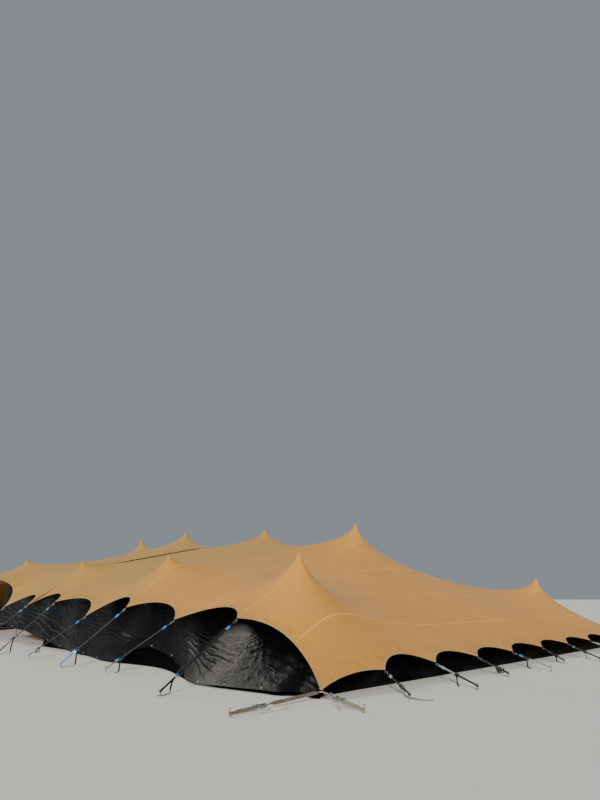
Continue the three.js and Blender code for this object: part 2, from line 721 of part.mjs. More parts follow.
function ratchetHandle(from, foot, ratchetAt) {
  const grip = onStake(foot, from, CORNER_GRIP_HEIGHT);
  const length = grip.distanceTo(from);
  const pivot = length * ratchetAt + 18 * 1.3;
  const inner = CORNER_STRAP_WIDTH / 2 + 7 + 5.5;
  const arm = (side) => {
    const shape = new THREE.Shape();
    shape.absarc(0, 0, 14, Math.PI / 2, (3 * Math.PI) / 2, false);
    shape.lineTo(HANDLE_LENGTH, HANDLE_RISE - 9);
    shape.lineTo(HANDLE_LENGTH, HANDLE_RISE + 9);
    shape.closePath();
    const hole = new THREE.Path();
    hole.absarc(0, 0, 6.6, 0, Math.PI * 2, true);
    shape.holes.push(hole);
    const geometry = new THREE.ExtrudeGeometry(shape, { depth: 4, bevelEnabled: false, curveSegments: 6 });
    geometry.rotateX(Math.PI / 2);
    geometry.translate(pivot, side > 0 ? inner + 4 : -inner, 0);
    return toSolid(geometry);
  };
  const bar = crossRod(pivot + HANDLE_LENGTH - 8, HANDLE_RISE, 9, 2 * inner + 4, 8);
  const web = new THREE.BoxGeometry(26, 2 * inner + 4, 3);
  web.translate(pivot + HANDLE_LENGTH - 30, 0, HANDLE_RISE);
  return {
    solid: alongLine(joinAll([arm(1), arm(-1), bar, toSolid(web)]), from, grip),
    pivot: from.clone().addScaledVector(grip.clone().sub(from).normalize(), pivot),
  };
}

// The near corner: its left strap carries the ring, the right one starts beside it.
const nearCorner = netPoint(0, 0);
const nearRing = cornerRing(nearCorner);
const leftFoot = vec(-1610, 30, 0);
const rightFoot = vec(-230, -970, 0);
const leftStart = nearRing.centre.clone().add(vec(-CORNER_RING_RADIUS, 0, 0));
const rightStart = besideRing(nearRing.centre, rightFoot);
const LEFT_RATCHET = 0.62;
const RIGHT_RATCHET = 0.3;
addPiece('corner_strap_left', toGeometry(cornerStrap(leftStart, leftFoot, LEFT_RATCHET).add(nearRing.solid)),
  materials.cornerStrap);
addPiece('corner_strap_right', toGeometry(cornerStrap(rightStart, rightFoot, RIGHT_RATCHET)),
  materials.cornerStrap);
const leftHandle = ratchetHandle(leftStart, leftFoot, LEFT_RATCHET);
const rightHandle = ratchetHandle(rightStart, rightFoot, RIGHT_RATCHET);
addPiece('ratchet_handle_left', toGeometry(leftHandle.solid), materials.handle);
addPiece('ratchet_handle_right', toGeometry(rightHandle.solid), materials.handle);

// The other three corners: ring and both straps in one piece.
const OTHER_CORNERS = [
  { name: 'corner_straps_right', u: WIDTH, v: 0, feet: [[1610, -30], [230, -970]] },
  { name: 'corner_straps_left_far', u: 0, v: LENGTH, feet: [[-1610, 30], [-230, 970]] },
  { name: 'corner_straps_back_far', u: WIDTH, v: LENGTH, feet: [[1610, 30], [230, 970]] },
];
for (const corner of OTHER_CORNERS) {
  const tip = netPoint(corner.u, corner.v);
  const ring = cornerRing(tip);
  const straps = corner.feet.map(([du, dv]) => {
    const foot = vec(corner.u + du, corner.v + dv, 0);
    const towards = foot.clone().sub(ring.centre).setZ(0).normalize();
    const start = ring.centre.clone().addScaledVector(towards, CORNER_RING_RADIUS);
    return plainStrap(start, foot, 0.5, CORNER_STRAP_WIDTH, 1.3);
  });
  addPiece(corner.name, toGeometry(joinAll([ring.solid, ...straps])), materials.cornerStrap);
}

// Poles: base plate, outer and inner tube, collar and dome cap, all one piece

function poleSolid(tip) {
  const top = tip - FABRIC - GAP;
  const middle = top * 0.55;
  const plate = new THREE.BoxGeometry(BASE_SIZE, BASE_SIZE, BASE_THICKNESS);
  plate.translate(0, 0, BASE_THICKNESS / 2);
  const rim = top - DOME_HEIGHT;
  const profile = [
    [0, BASE_THICKNESS - 2],
    [POLE_RADIUS, BASE_THICKNESS - 2],
    [POLE_RADIUS, middle],
    [POLE_RADIUS + 8, middle],
    [POLE_RADIUS + 8, middle + 60],
    [INNER_POLE_RADIUS, middle + 60],
    [INNER_POLE_RADIUS, rim - 45],
    [INNER_POLE_RADIUS + 8, rim - 45],
    [DOME_RADIUS - 5, rim - 14],
    [DOME_RADIUS, rim],
    [0, top],
  ];
  const lathe = new THREE.LatheGeometry(profile.map(([r, z]) => new THREE.Vector2(r, z)), POLE_SIDES);
  lathe.rotateX(Math.PI / 2);
  return toSolid(plate).add(toSolid(lathe));
}

function addPoles(rowName, row) {
  row.forEach((pole, index) => {
    const place = netPoint(pole.u, pole.v);
    const mesh = addPiece(`${rowName}_${index + 1}`, toGeometry(poleSolid(pole.tip)), materials.pole);
    mesh.position.set(place.x, place.y, 0);
  });
}

addPoles('pole_near', NEAR_ROW);
addPoles('pole_centre', CENTRE_ROW);
addPoles('pole_back', BACK_ROW);

// Walls: panels that hang from a line of the fabric to a foot line on the ground

// A smooth curve through (place, value) pairs.
function through(pairs, place) {
  const index = Math.max(pairs.findIndex(([p]) => p >= place), 1);
  const [p0, a] = pairs[index - 1];
  const [p1, b] = pairs[index];
  const t = THREE.MathUtils.clamp((place - p0) / (p1 - p0), 0, 1);
  return a + (b - a) * (t * t * (3 - 2 * t));
}

// Where the foot of the left wall lies, in u, at each v: it billows outwards near the corner.
const LEFT_FOOT = [
  [450, -60], [800, -300], [2300, -490], [5160, 230], [6860, 60], [8600, 300],
  [10520, 520], [14000, 420], [20000, 420], [22000, 200], [23550, 100],
];

// How high the hem of the wall is lifted off the ground beside the entrance, at each v.
const LEFT_HEM = [[12000, 240], [12600, 290], [13600, 390], [15700, 480], [16000, 490]];

// A wall panel: "tops" are the points that it hangs from and "feet" the points of its hem,
// "inward" the horizontal direction of its inner face and "billow" how far its middle stands out.
function wallPanel(tops, feet, inward, billow) {
  const outer = [];
  tops.forEach((top, index) => {
    const foot = feet[index];
    for (const row of range(WALL_ROWS + 1)) {
      const t = row / WALL_ROWS;
      const p = mix(top, foot, t);
      p.addScaledVector(inward, -billow * Math.sin(Math.PI * t) * (top.z / 1500));
      outer.push(p);
    }
  });
  const inner = outer.map((p) => p.clone().addScaledVector(inward, WALL_THICKNESS));
  const rows = WALL_ROWS + 1;
  const count = outer.length;
  const face = [];
  for (const i of range(tops.length - 1)) {
    for (const row of range(WALL_ROWS)) {
      const a = i * rows + row;
      face.push([a, a + 1, a + rows + 1], [a, a + rows + 1, a + rows]);
    }
  }
  const sides = new Map();
  for (const [a, b, c] of face) {
    for (const [from, to] of [[a, b], [b, c], [c, a]]) {
      if (sides.has(`${to} ${from}`)) sides.delete(`${to} ${from}`);
      else sides.set(`${from} ${to}`, [from, to]);
    }
  }
  const back = face.map(([a, b, c]) => [a + count, c + count, b + count]);
  const rim = [...sides.values()].flatMap(([a, b]) => [[a, a + count, b], [b, a + count, b + count]]);
  const geometry = pointMesh([...outer, ...inner], [...face, ...back, ...rim]);
  return geometry;
}

// Faces out or in depends on which way the points run, so the solid's volume decides it.
function turnedOut(geometry) {
  const position = geometry.attributes.position;
  const index = geometry.index.array;
  const p = [vec(0, 0, 0), vec(0, 0, 0), vec(0, 0, 0)];
  let volume = 0;
  for (let k = 0; k < index.length; k += 3) {
    p.forEach((corner, n) => corner.fromBufferAttribute(position, index[k + n]));
    volume += p[0].dot(p[1].clone().cross(p[2]));
  }
  if (volume < 0) {
    for (let k = 0; k < index.length; k += 3) [index[k + 1], index[k + 2]] = [index[k + 2], index[k + 1]];
    geometry.computeVertexNormals();
  }
  return geometry;
}

const WALL_DROP = FABRIC + 0.6;
const WALL_START = 60;
const SIDE_FOOT = 250;

// The points of the fabric's wall line between two places, in order, pulled in a little at each end.
function wallTops(points, pullStart, pullEnd) {
  const last = points.length - 1;
  const first = points[0].clone().addScaledVector(points[1].clone().sub(points[0]).normalize(), pullStart);
  const end = points[last].clone()
    .addScaledVector(points[last - 1].clone().sub(points[last]).normalize(), pullEnd);
  return [first, ...points.slice(1, -1), end].map((p) => p.setZ(p.z - WALL_DROP));
}

// A stretch of wall along a long side, from one v to another.
function longWall(name, u, vLow, vHigh, footOf, inward, hemOf = () => 0) {
  const places = wallV.filter((v) => v >= vLow && v <= vHigh);
  const tops = wallTops(places.map((v) => netPoint(u, v)), 2, 2);
  const feet = places.map((v, index) => vec(footOf(v), tops[index].y, hemOf(v)));
  addPiece(name, turnedOut(wallPanel(tops, feet, inward, WALL_BILLOW)), materials.wall);
}

const ENTRANCE_START = 16000;
const ENTRANCE_END = 20000;
const leftFootOf = (v) => through(LEFT_FOOT, v);
const leftHemOf = (v) => through(LEFT_HEM, v);
const backFootOf = () => WIDTH - SIDE_FOOT;
longWall('wall_left_1', WALL_LINE, WALL_LINE, 6000, leftFootOf, vec(1, 0, 0));
longWall('wall_left_2', WALL_LINE, 6000, CANOPY_LENGTH, leftFootOf, vec(1, 0, 0));
longWall('wall_left_3', WALL_LINE, CANOPY_LENGTH, ENTRANCE_START, leftFootOf, vec(1, 0, 0), leftHemOf);
longWall('wall_left_4', WALL_LINE, ENTRANCE_END, LENGTH - WALL_LINE, leftFootOf, vec(1, 0, 0));
longWall('wall_back_1', WIDTH - WALL_LINE, WALL_LINE, CANOPY_LENGTH, backFootOf, vec(-1, 0, 0));
longWall('wall_back_2', WIDTH - WALL_LINE, CANOPY_LENGTH, LENGTH - WALL_LINE, backFootOf, vec(-1, 0, 0));

// The walls along the short sides, one at each end of the tent.
function shortWall(name, v, footV, inward) {
  const tops = wallTops(wallU.map((u) => netPoint(u, v)), WALL_START, WALL_START);
  const feet = tops.map((p) => vec(p.x, footV, 0));
  addPiece(name, turnedOut(wallPanel(tops, feet, inward, WALL_BILLOW)), materials.wall);
}

shortWall('wall_right', WALL_LINE, SIDE_FOOT, vec(0, 1, 0));
shortWall('wall_end', LENGTH - WALL_LINE, LENGTH - SIDE_FOOT, vec(0, -1, 0));

export default tent;
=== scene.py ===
import json
import math

import bmesh
import bpy
import numpy as np
from bpy.props import FloatProperty, FloatVectorProperty, PointerProperty
from bpy.types import Operator, Panel, PropertyGroup
from mathutils import Matrix, Vector

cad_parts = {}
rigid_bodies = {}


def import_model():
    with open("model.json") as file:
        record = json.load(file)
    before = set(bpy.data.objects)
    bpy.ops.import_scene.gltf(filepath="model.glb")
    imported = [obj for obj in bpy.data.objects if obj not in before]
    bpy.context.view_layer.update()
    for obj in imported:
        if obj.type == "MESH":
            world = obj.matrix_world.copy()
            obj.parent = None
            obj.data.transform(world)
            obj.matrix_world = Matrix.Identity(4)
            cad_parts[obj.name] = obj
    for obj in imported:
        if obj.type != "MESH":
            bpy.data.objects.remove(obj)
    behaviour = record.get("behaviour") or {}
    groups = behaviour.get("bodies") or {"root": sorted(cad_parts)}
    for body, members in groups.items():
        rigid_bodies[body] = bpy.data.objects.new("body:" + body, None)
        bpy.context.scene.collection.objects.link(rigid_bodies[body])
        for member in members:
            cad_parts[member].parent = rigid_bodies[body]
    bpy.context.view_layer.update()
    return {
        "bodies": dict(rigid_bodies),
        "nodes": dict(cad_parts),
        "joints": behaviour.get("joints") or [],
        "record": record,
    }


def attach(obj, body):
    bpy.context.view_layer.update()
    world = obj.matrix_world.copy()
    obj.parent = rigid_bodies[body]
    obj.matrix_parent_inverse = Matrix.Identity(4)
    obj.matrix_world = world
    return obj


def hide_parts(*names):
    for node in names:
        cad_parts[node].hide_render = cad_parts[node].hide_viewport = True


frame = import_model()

bl_info = {
    "name": "Stretch tent",
    "version": (1, 0, 0),
    "blender": (4, 5, 0),
    "location": "3D View > Sidebar > Tent",
    "description": "Builds the fabric, hems, walls, poles, straps and stakes of a stretch tent",
    "category": "Add Mesh",
}

# ---- the tent's plan, in metres: u runs across it and v along it, both from the near corner ----

WIDTH = 15.0
LENGTH = 24.0
JOINT = 12.0
# Tie points: how far apart, how many on a side, and how high above the ground.
LONG_STEP, SHORT_STEP = 2.0, 1.5
LONG_TIES, SHORT_TIES = 11, 9
LEFT_TIES = [1.06, 0.98, 1.18, 0.96, 1.27, 1.17, 1.09, 2.0, 2.0, 1.10, 1.05]
BACK_TIE = 0.30
SIDE_TIE = 0.29
CORNER = 0.144
# Each pole: u, v, height of its tip, reach of the raised tension.
NEAR_ROW = [(1.5, v, tip, 3.0) for v, tip in ((2.0, 2.24), (6.87, 2.41), (12.0, 2.46), (17.05, 2.71),
                                              (22.0, 2.3))]
CENTRE_ROW = [(u, v, tip, 4.0) for u, v, tip in ((7.5, 5.54, 3.59), (7.5, 10.0, 3.76), (7.0, 14.65, 3.94),
                                                 (7.0, 18.36, 3.88))]
BACK_ROW = [(13.175, v, tip, 2.5) for v, tip in ((2.41, 1.965), (5.83, 2.014), (12.0, 2.1), (17.05, 2.1),
                                                 (22.0, 2.0))]
POLES = NEAR_ROW + CENTRE_ROW + BACK_ROW
TIES = ([(0.0, LONG_STEP * (k + 1), z) for k, z in enumerate(LEFT_TIES)]
        + [(WIDTH, LONG_STEP * (k + 1), BACK_TIE) for k in range(LONG_TIES)]
        + [(SHORT_STEP * (k + 1), v, SIDE_TIE) for k in range(SHORT_TIES) for v in (0.0, LENGTH)])
CORNERS = [(u, v, CORNER) for u in (0.0, WIDTH) for v in (0.0, LENGTH)]
# Welded seams between the strips of fabric, along u.
SEAMS = [0.86, 2.13, 3.5, 4.9, 6.4, 7.9, 9.4, 10.9]
SEAMS += [LENGTH - v for v in reversed(SEAMS)]
# Half a seam's width at its top and at its foot.
SEAM_TOP, SEAM_FOOT = 0.008, 0.014
# How far inside the edge the walls hang, and how far inside it they stand on the sides that aren't lifted.
WALL_LINE = 0.45
SIDE_FOOT = 0.25
# How far the far canopy lies over the near one.
OVERLAP = 0.10
# A pole's cap: half the square of fabric that lies on it, and its radius of curvature.
CAP = 0.04
CAP_CURVE = 0.06
# The fabric net: its step, its closest lines, more lines around a pole, and the height it starts from.
NET_STEP = 0.125
CLOSEST_LINES = 0.03
POLE_LINES = (0.11, 0.15, 0.2, 0.27, 0.36)
START_HEIGHT = 1.2
# Tension stops rising this near a pole's axis; a free edge is as tight as this many metres of fabric.
TENSION_CORE = 0.03
EDGE_TENSION = 6.0
# The arcs next to the corners on the short sides are pulled tighter.
END_ARC_FACTOR = 3.0

# Stakes of the two sides that show: how far out from the tie and how far along. The others are plain.
LEFT_STAKES = [(1.44, -0.045), (0.773, 1.1), (1.03, 0.64), (0.86, 0.95), (1.1, 0.4), (1.2, 0.3), (1.1, 0.2),
               (1.6, -0.25), (1.6, 0.25), (1.1, 0.0), (1.03, -0.3)]
RIGHT_STAKES = [(0.809, -0.484), (1.09, -0.535), (0.724, -0.248), (0.934, -0.345), (0.562, -0.258),
                (0.98, -0.763), (0.95, -0.4), (0.95, -0.3), (0.95, -0.2)]
BACK_STAKE, END_STAKE = (1.1, 0.0), (0.95, 0.0)
# Stakes lean outwards by this share of their height. Straps hold them at these heights.
STAKE_LEAN = 0.25
GRIP_HEIGHT = 0.072
CORNER_GRIP_HEIGHT = 0.04

# Left wall: where its foot lies in u, and how high its outer hem is lifted, at each v.
LEFT_FOOT = [(0.45, -0.06), (0.8, -0.3), (2.3, -0.49), (5.16, 0.23), (6.86, 0.06), (8.6, 0.3),
             (10.52, 0.52), (14.0, 0.42), (20.0, 0.42), (22.0, 0.2), (23.55, 0.1)]
LEFT_HEM = [(0.45, 0.06), (1.8, 0.05), (2.4, 0.03), (2.9, 0.03), (3.4, 0.12), (3.9, 0.19), (4.45, 0.25),
            (5.05, 0.32), (5.55, 0.37), (5.95, 0.3), (6.3, 0.03), (6.9, 0.02), (9.5, 0.02), (10.6, 0.06),
            (11.5, 0.17), (12.6, 0.29), (13.6, 0.39), (15.7, 0.48), (16.0, 0.49)]

UP = Vector((0, 0, 1))
# What is made once and used again: the net and the prototypes of fittings.
_made = {}


def place(u, v, z=0.0):
    """A point of the plan as a point of the part's frame."""
    return Vector((u - WIDTH / 2, v - LENGTH / 2, z))


# ---- materials ----

def linear(code):
    """An sRGB hex colour as linear RGBA."""
    parts = [int(code[i:i + 2], 16) / 255 for i in (1, 3, 5)]
    return tuple(c / 12.92 if c <= 0.04045 else ((c + 0.055) / 1.055) ** 2.4 for c in parts) + (1.0,)


def add_node(tree, kind, inputs=None, out=0, **settings):
    """Adds a node with its settings, sets or links its inputs, and returns one of its outputs."""
    made = tree.nodes.new(kind)
    for key, value in settings.items():
        setattr(made, key, value)
    for key, value in (inputs or {}).items():
        if isinstance(value, bpy.types.NodeSocket):
            tree.links.new(value, made.inputs[key])
        else:
            made.inputs[key].default_value = value
    return made.outputs[out]


def new_finish(name, **constants):
    """Makes a material and returns its node tree and its shader, with the constant values set on the shader."""
    material = bpy.data.materials.new(name)
    material.use_nodes = True
    shader = material.node_tree.nodes["Principled BSDF"]
    for key, value in constants.items():
        shader.inputs[key.replace("_", " ")].default_value = value
    return material.node_tree, shader


def connect(tree, shader, colour, normal=None):
    """Links a colour, and a bump where there is one, to the shader."""
    tree.links.new(colour, shader.inputs["Base Color"])
    if normal is not None:
        tree.links.new(normal, shader.inputs["Normal"])


def patchy(tree, where, scale, detail, low, high, colour, other):
    """A colour that goes over to another in patches of noise, between these two values of it."""
    patches = add_node(tree, "ShaderNodeTexNoise", {"Vector": where, "Scale": scale, "Detail": detail})
    share = add_node(tree, "ShaderNodeMapRange", {"Value": patches, "From Min": low, "From Max": high})
    return add_node(tree, "ShaderNodeMix", {0: share, 6: colour, 7: other}, 2, data_type="RGBA")


def knitted_stretch_fabric(name):
    """Two-way stretch polyester, knitted and coated: matt, a faint rib, welded seams a shade lighter, and
    painted shade over the further half.
    """
    tree, shader = new_finish(name, Roughness=0.85, Specular_IOR_Level=0.06, Sheen_Weight=0.09,
                              Sheen_Roughness=0.47, Sheen_Tint=linear("#D8E4F0"))
    colours = bpy.context.scene.tent_colours
    cloth = add_node(tree, "ShaderNodeUVMap", uv_map="cloth")
    seam = add_node(tree, "ShaderNodeAttribute", attribute_name="seam", out="Fac")
    hem = add_node(tree, "ShaderNodeAttribute", attribute_name="hem", out="Fac")
    cloudy = add_node(tree, "ShaderNodeTexNoise", {"Vector": cloth, "Scale": 5.0, "Detail": 5.0})
    # Ribs of the knit are about 1 mm apart; they are drawn 16 mm apart so that they show.
    rib = add_node(tree, "ShaderNodeTexWave", {"Vector": cloth, "Scale": 20.0, "Distortion": 0.3},
                   bands_direction="X", out="Fac")
    tone = patchy(tree, cloth, 0.45, 3.0, 0.3, 0.7, colours.fabric, colours.fabric_pale)
    dust_share = add_node(tree, "ShaderNodeMapRange", {"Value": cloudy, "From Min": 0.45, "From Max": 0.8})
    dusty = add_node(tree, "ShaderNodeMix", {0: dust_share, 6: tone, 7: colours.fabric_dust}, 2,
                     data_type="RGBA")
    # The further half is painted duller between 4 m and 9 m from the near end: painted shade for the duller
    # light on the far canopy.
    parts = add_node(tree, "ShaderNodeSeparateXYZ", {"Vector": cloth}, "Y")
    far_shade_share = add_node(tree, "ShaderNodeMapRange", {"Value": parts, "From Min": 4.0, "From Max": 9.0,
                                                        "To Max": 0.8})
    far_shaded = add_node(tree, "ShaderNodeMix", {0: far_shade_share, 6: dusty, 7: colours.fabric_far_shade}, 2,
                     data_type="RGBA")
    # The weld shows through in a zigzag of dots, drawn 50 mm apart.
    dots = add_node(tree, "ShaderNodeTexWave", {"Vector": cloth, "Scale": 6.25}, bands_direction="X", out="Fac")
    dot_share = add_node(tree, "ShaderNodeMapRange", {"Value": dots, "To Min": 0.25, "To Max": 1.0})
    seam_share = add_node(tree, "ShaderNodeMath", {0: seam, 1: dot_share}, operation="MULTIPLY")
    seamed = add_node(tree, "ShaderNodeMix", {0: seam_share, 6: far_shaded, 7: colours.fabric_seam}, 2,
                      data_type="RGBA")
    soil_patches = add_node(tree, "ShaderNodeMapRange", {"Value": cloudy, "From Min": 0.4, "From Max": 0.7,
                                                         "To Max": 0.35})
    soil_share = add_node(tree, "ShaderNodeMath", {0: hem, 1: soil_patches}, operation="MULTIPLY")
    soiled = add_node(tree, "ShaderNodeMix", {0: soil_share, 6: seamed, 7: colours.fabric_soil}, 2,
                      data_type="RGBA")
    ribbed = add_node(tree, "ShaderNodeBump", {"Height": rib, "Strength": 0.06, "Distance": 0.001})
    uneven = add_node(tree, "ShaderNodeBump", {"Height": cloudy, "Strength": 0.12, "Distance": 0.01,
                                               "Normal": ribbed})
    connect(tree, shader, soiled, uneven)


def coated_wall_fabric(name):
    """Thin black polyester with a glossy coating: near black, finely crinkled, grey where it mirrors sky."""
    tree, shader = new_finish(name, Roughness=0.23, Specular_IOR_Level=0.13)
    colours = bpy.context.scene.tent_colours
    cloth = add_node(tree, "ShaderNodeUVMap", uv_map="cloth")
    seam = add_node(tree, "ShaderNodeAttribute", attribute_name="seam", out="Fac")
    crinkle = add_node(tree, "ShaderNodeTexNoise", {"Vector": cloth, "Scale": 14.0, "Detail": 6.0,
                                                    "Roughness": 0.62})
    # A ripstop grid of 5 mm, drawn 15 mm apart so that it shows.
    weave = add_node(tree, "ShaderNodeTexBrick", {"Vector": cloth, "Scale": 33.0, "Mortar Size": 0.04,
                                                  "Brick Width": 0.5, "Row Height": 0.5}, "Fac", offset=0.0)
    tone = patchy(tree, cloth, 2.5, 4.0, 0.35, 0.75, colours.wall, colours.wall_dust)
    seam_share = add_node(tree, "ShaderNodeMath", {0: seam, 1: 0.8}, operation="MULTIPLY")
    seamed = add_node(tree, "ShaderNodeMix", {0: seam_share, 6: tone, 7: linear("#010101")}, 2,
                      data_type="RGBA")
    fine = add_node(tree, "ShaderNodeBump", {"Height": weave, "Strength": 0.1, "Distance": 0.001})
    rough = add_node(tree, "ShaderNodeBump", {"Height": crinkle, "Strength": 0.8, "Distance": 0.02,
                                              "Normal": fine})
    connect(tree, shader, seamed, rough)


def matt_liner(name):
    """Matt black liner cloth behind a wall's lifted hem, near black so that it stands in for the deep shade
    inside the tent: painted shade.
    """
    tree, shader = new_finish(name, Roughness=0.95, Specular_IOR_Level=0.05)
    cloth = add_node(tree, "ShaderNodeUVMap", uv_map="cloth")
    lint = add_node(tree, "ShaderNodeTexNoise", {"Vector": cloth, "Scale": 6.0, "Detail": 4.0})
    tone = add_node(tree, "ShaderNodeMix", {0: lint, 6: linear("#020202"), 7: linear("#050505")}, 2,
                    data_type="RGBA")
    connect(tree, shader, tone)


def woven_webbing(name, colour, dark):
    """Polyester webbing: matt, a twill of short ribs across it, dirt in patches and painted shade in the
    grooves between the ribs.
    """
    tree, shader = new_finish(name, Roughness=0.72, Specular_IOR_Level=0.3, Sheen_Weight=0.04)
    cloth = add_node(tree, "ShaderNodeUVMap", uv_map="cloth")
    # Ribs across the webbing, 3 mm apart.
    ribs = add_node(tree, "ShaderNodeTexWave", {"Vector": cloth, "Scale": 105.0, "Distortion": 1.0},
                    bands_direction="Y", out="Fac")
    tone = patchy(tree, cloth, 18.0, 5.0, 0.35, 0.7, colour, dark)
    # The grooves between the ribs are painted darker: painted shade.
    rib_share = add_node(tree, "ShaderNodeMath", {0: ribs, 1: 0.25}, operation="MULTIPLY")
    shaded = add_node(tree, "ShaderNodeMix", {0: rib_share, 6: tone, 7: dark}, 2, data_type="RGBA")
    bump = add_node(tree, "ShaderNodeBump", {"Height": ribs, "Strength": 0.3, "Distance": 0.001})
    connect(tree, shader, shaded, bump)


def metal_finish(name, colour, worn, roughness, grain):
    """A bare or plated metal: a tone that drifts, and fine grain stretched along the way it was worked."""
    tree, shader = new_finish(name, Metallic=1.0, Roughness=roughness)
    here = add_node(tree, "ShaderNodeTexCoord", out="Object")
    stretched = add_node(tree, "ShaderNodeMapping", {"Vector": here, "Scale": grain})
    streaks = add_node(tree, "ShaderNodeTexNoise", {"Vector": stretched, "Scale": 30.0, "Detail": 4.0})
    tone = patchy(tree, here, 22.0, 4.0, 0.4, 0.72, colour, worn)
    bump = add_node(tree, "ShaderNodeBump", {"Height": streaks, "Strength": 0.12, "Distance": 0.001})
    connect(tree, shader, tone, bump)


def moulded_plastic(name, colour, worn, roughness):
    """Moulded plastic or rubber: one colour, scuffed, with the faint orange peel of the mould."""
    tree, shader = new_finish(name, Roughness=roughness)
    here = add_node(tree, "ShaderNodeTexCoord", out="Object")
    peel = add_node(tree, "ShaderNodeTexNoise", {"Vector": here, "Scale": 400.0, "Detail": 2.0})
    tone = patchy(tree, here, 60.0, 5.0, 0.5, 0.8, colour, worn)
    bump = add_node(tree, "ShaderNodeBump", {"Height": peel, "Strength": 0.1, "Distance": 0.001})
    connect(tree, shader, tone, bump)


def painted_floor(name):
    """Pale studio floor: matt paint."""
    tree, shader = new_finish(name, Roughness=0.85)
    here = add_node(tree, "ShaderNodeTexCoord", out="Object")
    patches = add_node(tree, "ShaderNodeTexNoise", {"Vector": here, "Scale": 0.3, "Detail": 3.0})
    tone = add_node(tree, "ShaderNodeMix", {0: patches, 6: linear("#D9D8D5"), 7: linear("#DFDEDB")}, 2,
                    data_type="RGBA")
    connect(tree, shader, tone)


# Each finish: what makes it, and with what.
FINISHES = {
    "knitted_stretch_fabric": (knitted_stretch_fabric,),
    "coated_wall_fabric": (coated_wall_fabric,),
    # Near black liner that stands in for the shade inside the tent: painted shade.
    "matt_liner": (matt_liner,),
    "painted_floor": (painted_floor,),
    # Hem webbing in the fabric's own colour, folded over its edge and sewn.
    "tan_webbing": (woven_webbing, "#B8955E", "#9A7C4B"),
    # Strap webbing in its colours, each with a darker tone for dirt in the weave and for painted shade between
    # its ribs.
    "grey_webbing": (woven_webbing, "#33373B", "#1F2225"),
    "silver_webbing": (woven_webbing, "#9A9E9C", "#6E7270"),
    "slate_webbing": (woven_webbing, "#6F7A86", "#4A535D"),
    "black_webbing": (woven_webbing, "#0B0C0E", "#060607"),
    "olive_webbing": (woven_webbing, "#6B6453", "#4C473A"),
    "sage_webbing": (woven_webbing, "#848B6C", "#5F654C"),
    "pale_webbing": (woven_webbing, "#C4BEA6", "#938C76"),
    "blue_webbing": (woven_webbing, "#3C86C8", "#25588A"),
    # Pressed steel, bright zinc plated, dulled by weather.
    "zinc_plated_steel": (metal_finish, "#A9ADAF", "#74797C", 0.36, (1, 1, 1)),
    # Extruded aluminium tube as it leaves the mill: lines of the die run along it.
    "mill_aluminium": (metal_finish, "#C4C6C8", "#A2A5A8", 0.36, (8, 8, 0.3)),
    # Zinc plating with a blue chromate film.
    "blue_zinc": (metal_finish, "#86AECB", "#5F7F97", 0.36, (1, 1, 1)),
    # Steel with black enamel worn at its edges.
    "black_steel": (metal_finish, "#34373A", "#1C1E20", 0.42, (1, 1, 1)),
    # Forged steel stake, galvanised, scuffed and dull.
    "forged_steel": (metal_finish, "#CBCABD", "#8F8D80", 0.5, (1, 1, 1)),
    # Black moulded rubber and pale blue nylon grip.
    "moulded_rubber": (moulded_plastic, "#1A1B1D", "#3A3B3D", 0.6),
    "blue_nylon": (moulded_plastic, "#8FB4CF", "#B9CCD9", 0.4),
}


def finish(name):
    """The material of this name, made when it is first asked for."""
    if name not in bpy.data.materials:
        make, *values = FINISHES[name]
        make(name, *[linear(v) if isinstance(v, str) else v for v in values])
    return bpy.data.materials[name]


# ---- the fabric's shape: a net in which the pull of every link balances ----

def net_lines(extent, step, needed, pole_lines, seams=()):
    """Grid lines across a stretch: an even step, the lines that it needs, and more around poles and seams."""
    kept = {round(x, 5) for x in needed}
    for x in pole_lines:
        kept.update(round(x + d, 5) for d in (-CAP, -CAP / 2, 0, CAP / 2, CAP))
    for x in seams:
        kept.update(round(x + d, 5) for d in (-SEAM_FOOT, -SEAM_TOP, SEAM_TOP, SEAM_FOOT))
    fill = {round(x, 5) for x in np.arange(0, extent + 1e-9, step)}
    for x in pole_lines:
        fill.update(round(x + s * d, 5) for d in POLE_LINES for s in (-1, 1))
    lines = sorted(kept)
    for x in sorted(fill):
        if min(abs(x - k) for k in lines) > CLOSEST_LINES:
            lines.append(x)
    return np.array(sorted(lines))


def net_tension(u, v):
    """Tension at a place, raised around every pole."""
    total = np.ones(np.broadcast(u, v).shape)
    for pole_u, pole_v, _, reach in POLES:
        total += reach / np.maximum(np.hypot(u - pole_u, v - pole_v), TENSION_CORE)
    return total


def carried(lines):
    """Width of fabric that each grid line carries."""
    gaps = np.diff(lines)
    return (np.concatenate([[0], gaps]) + np.concatenate([gaps, [0]])) / 2


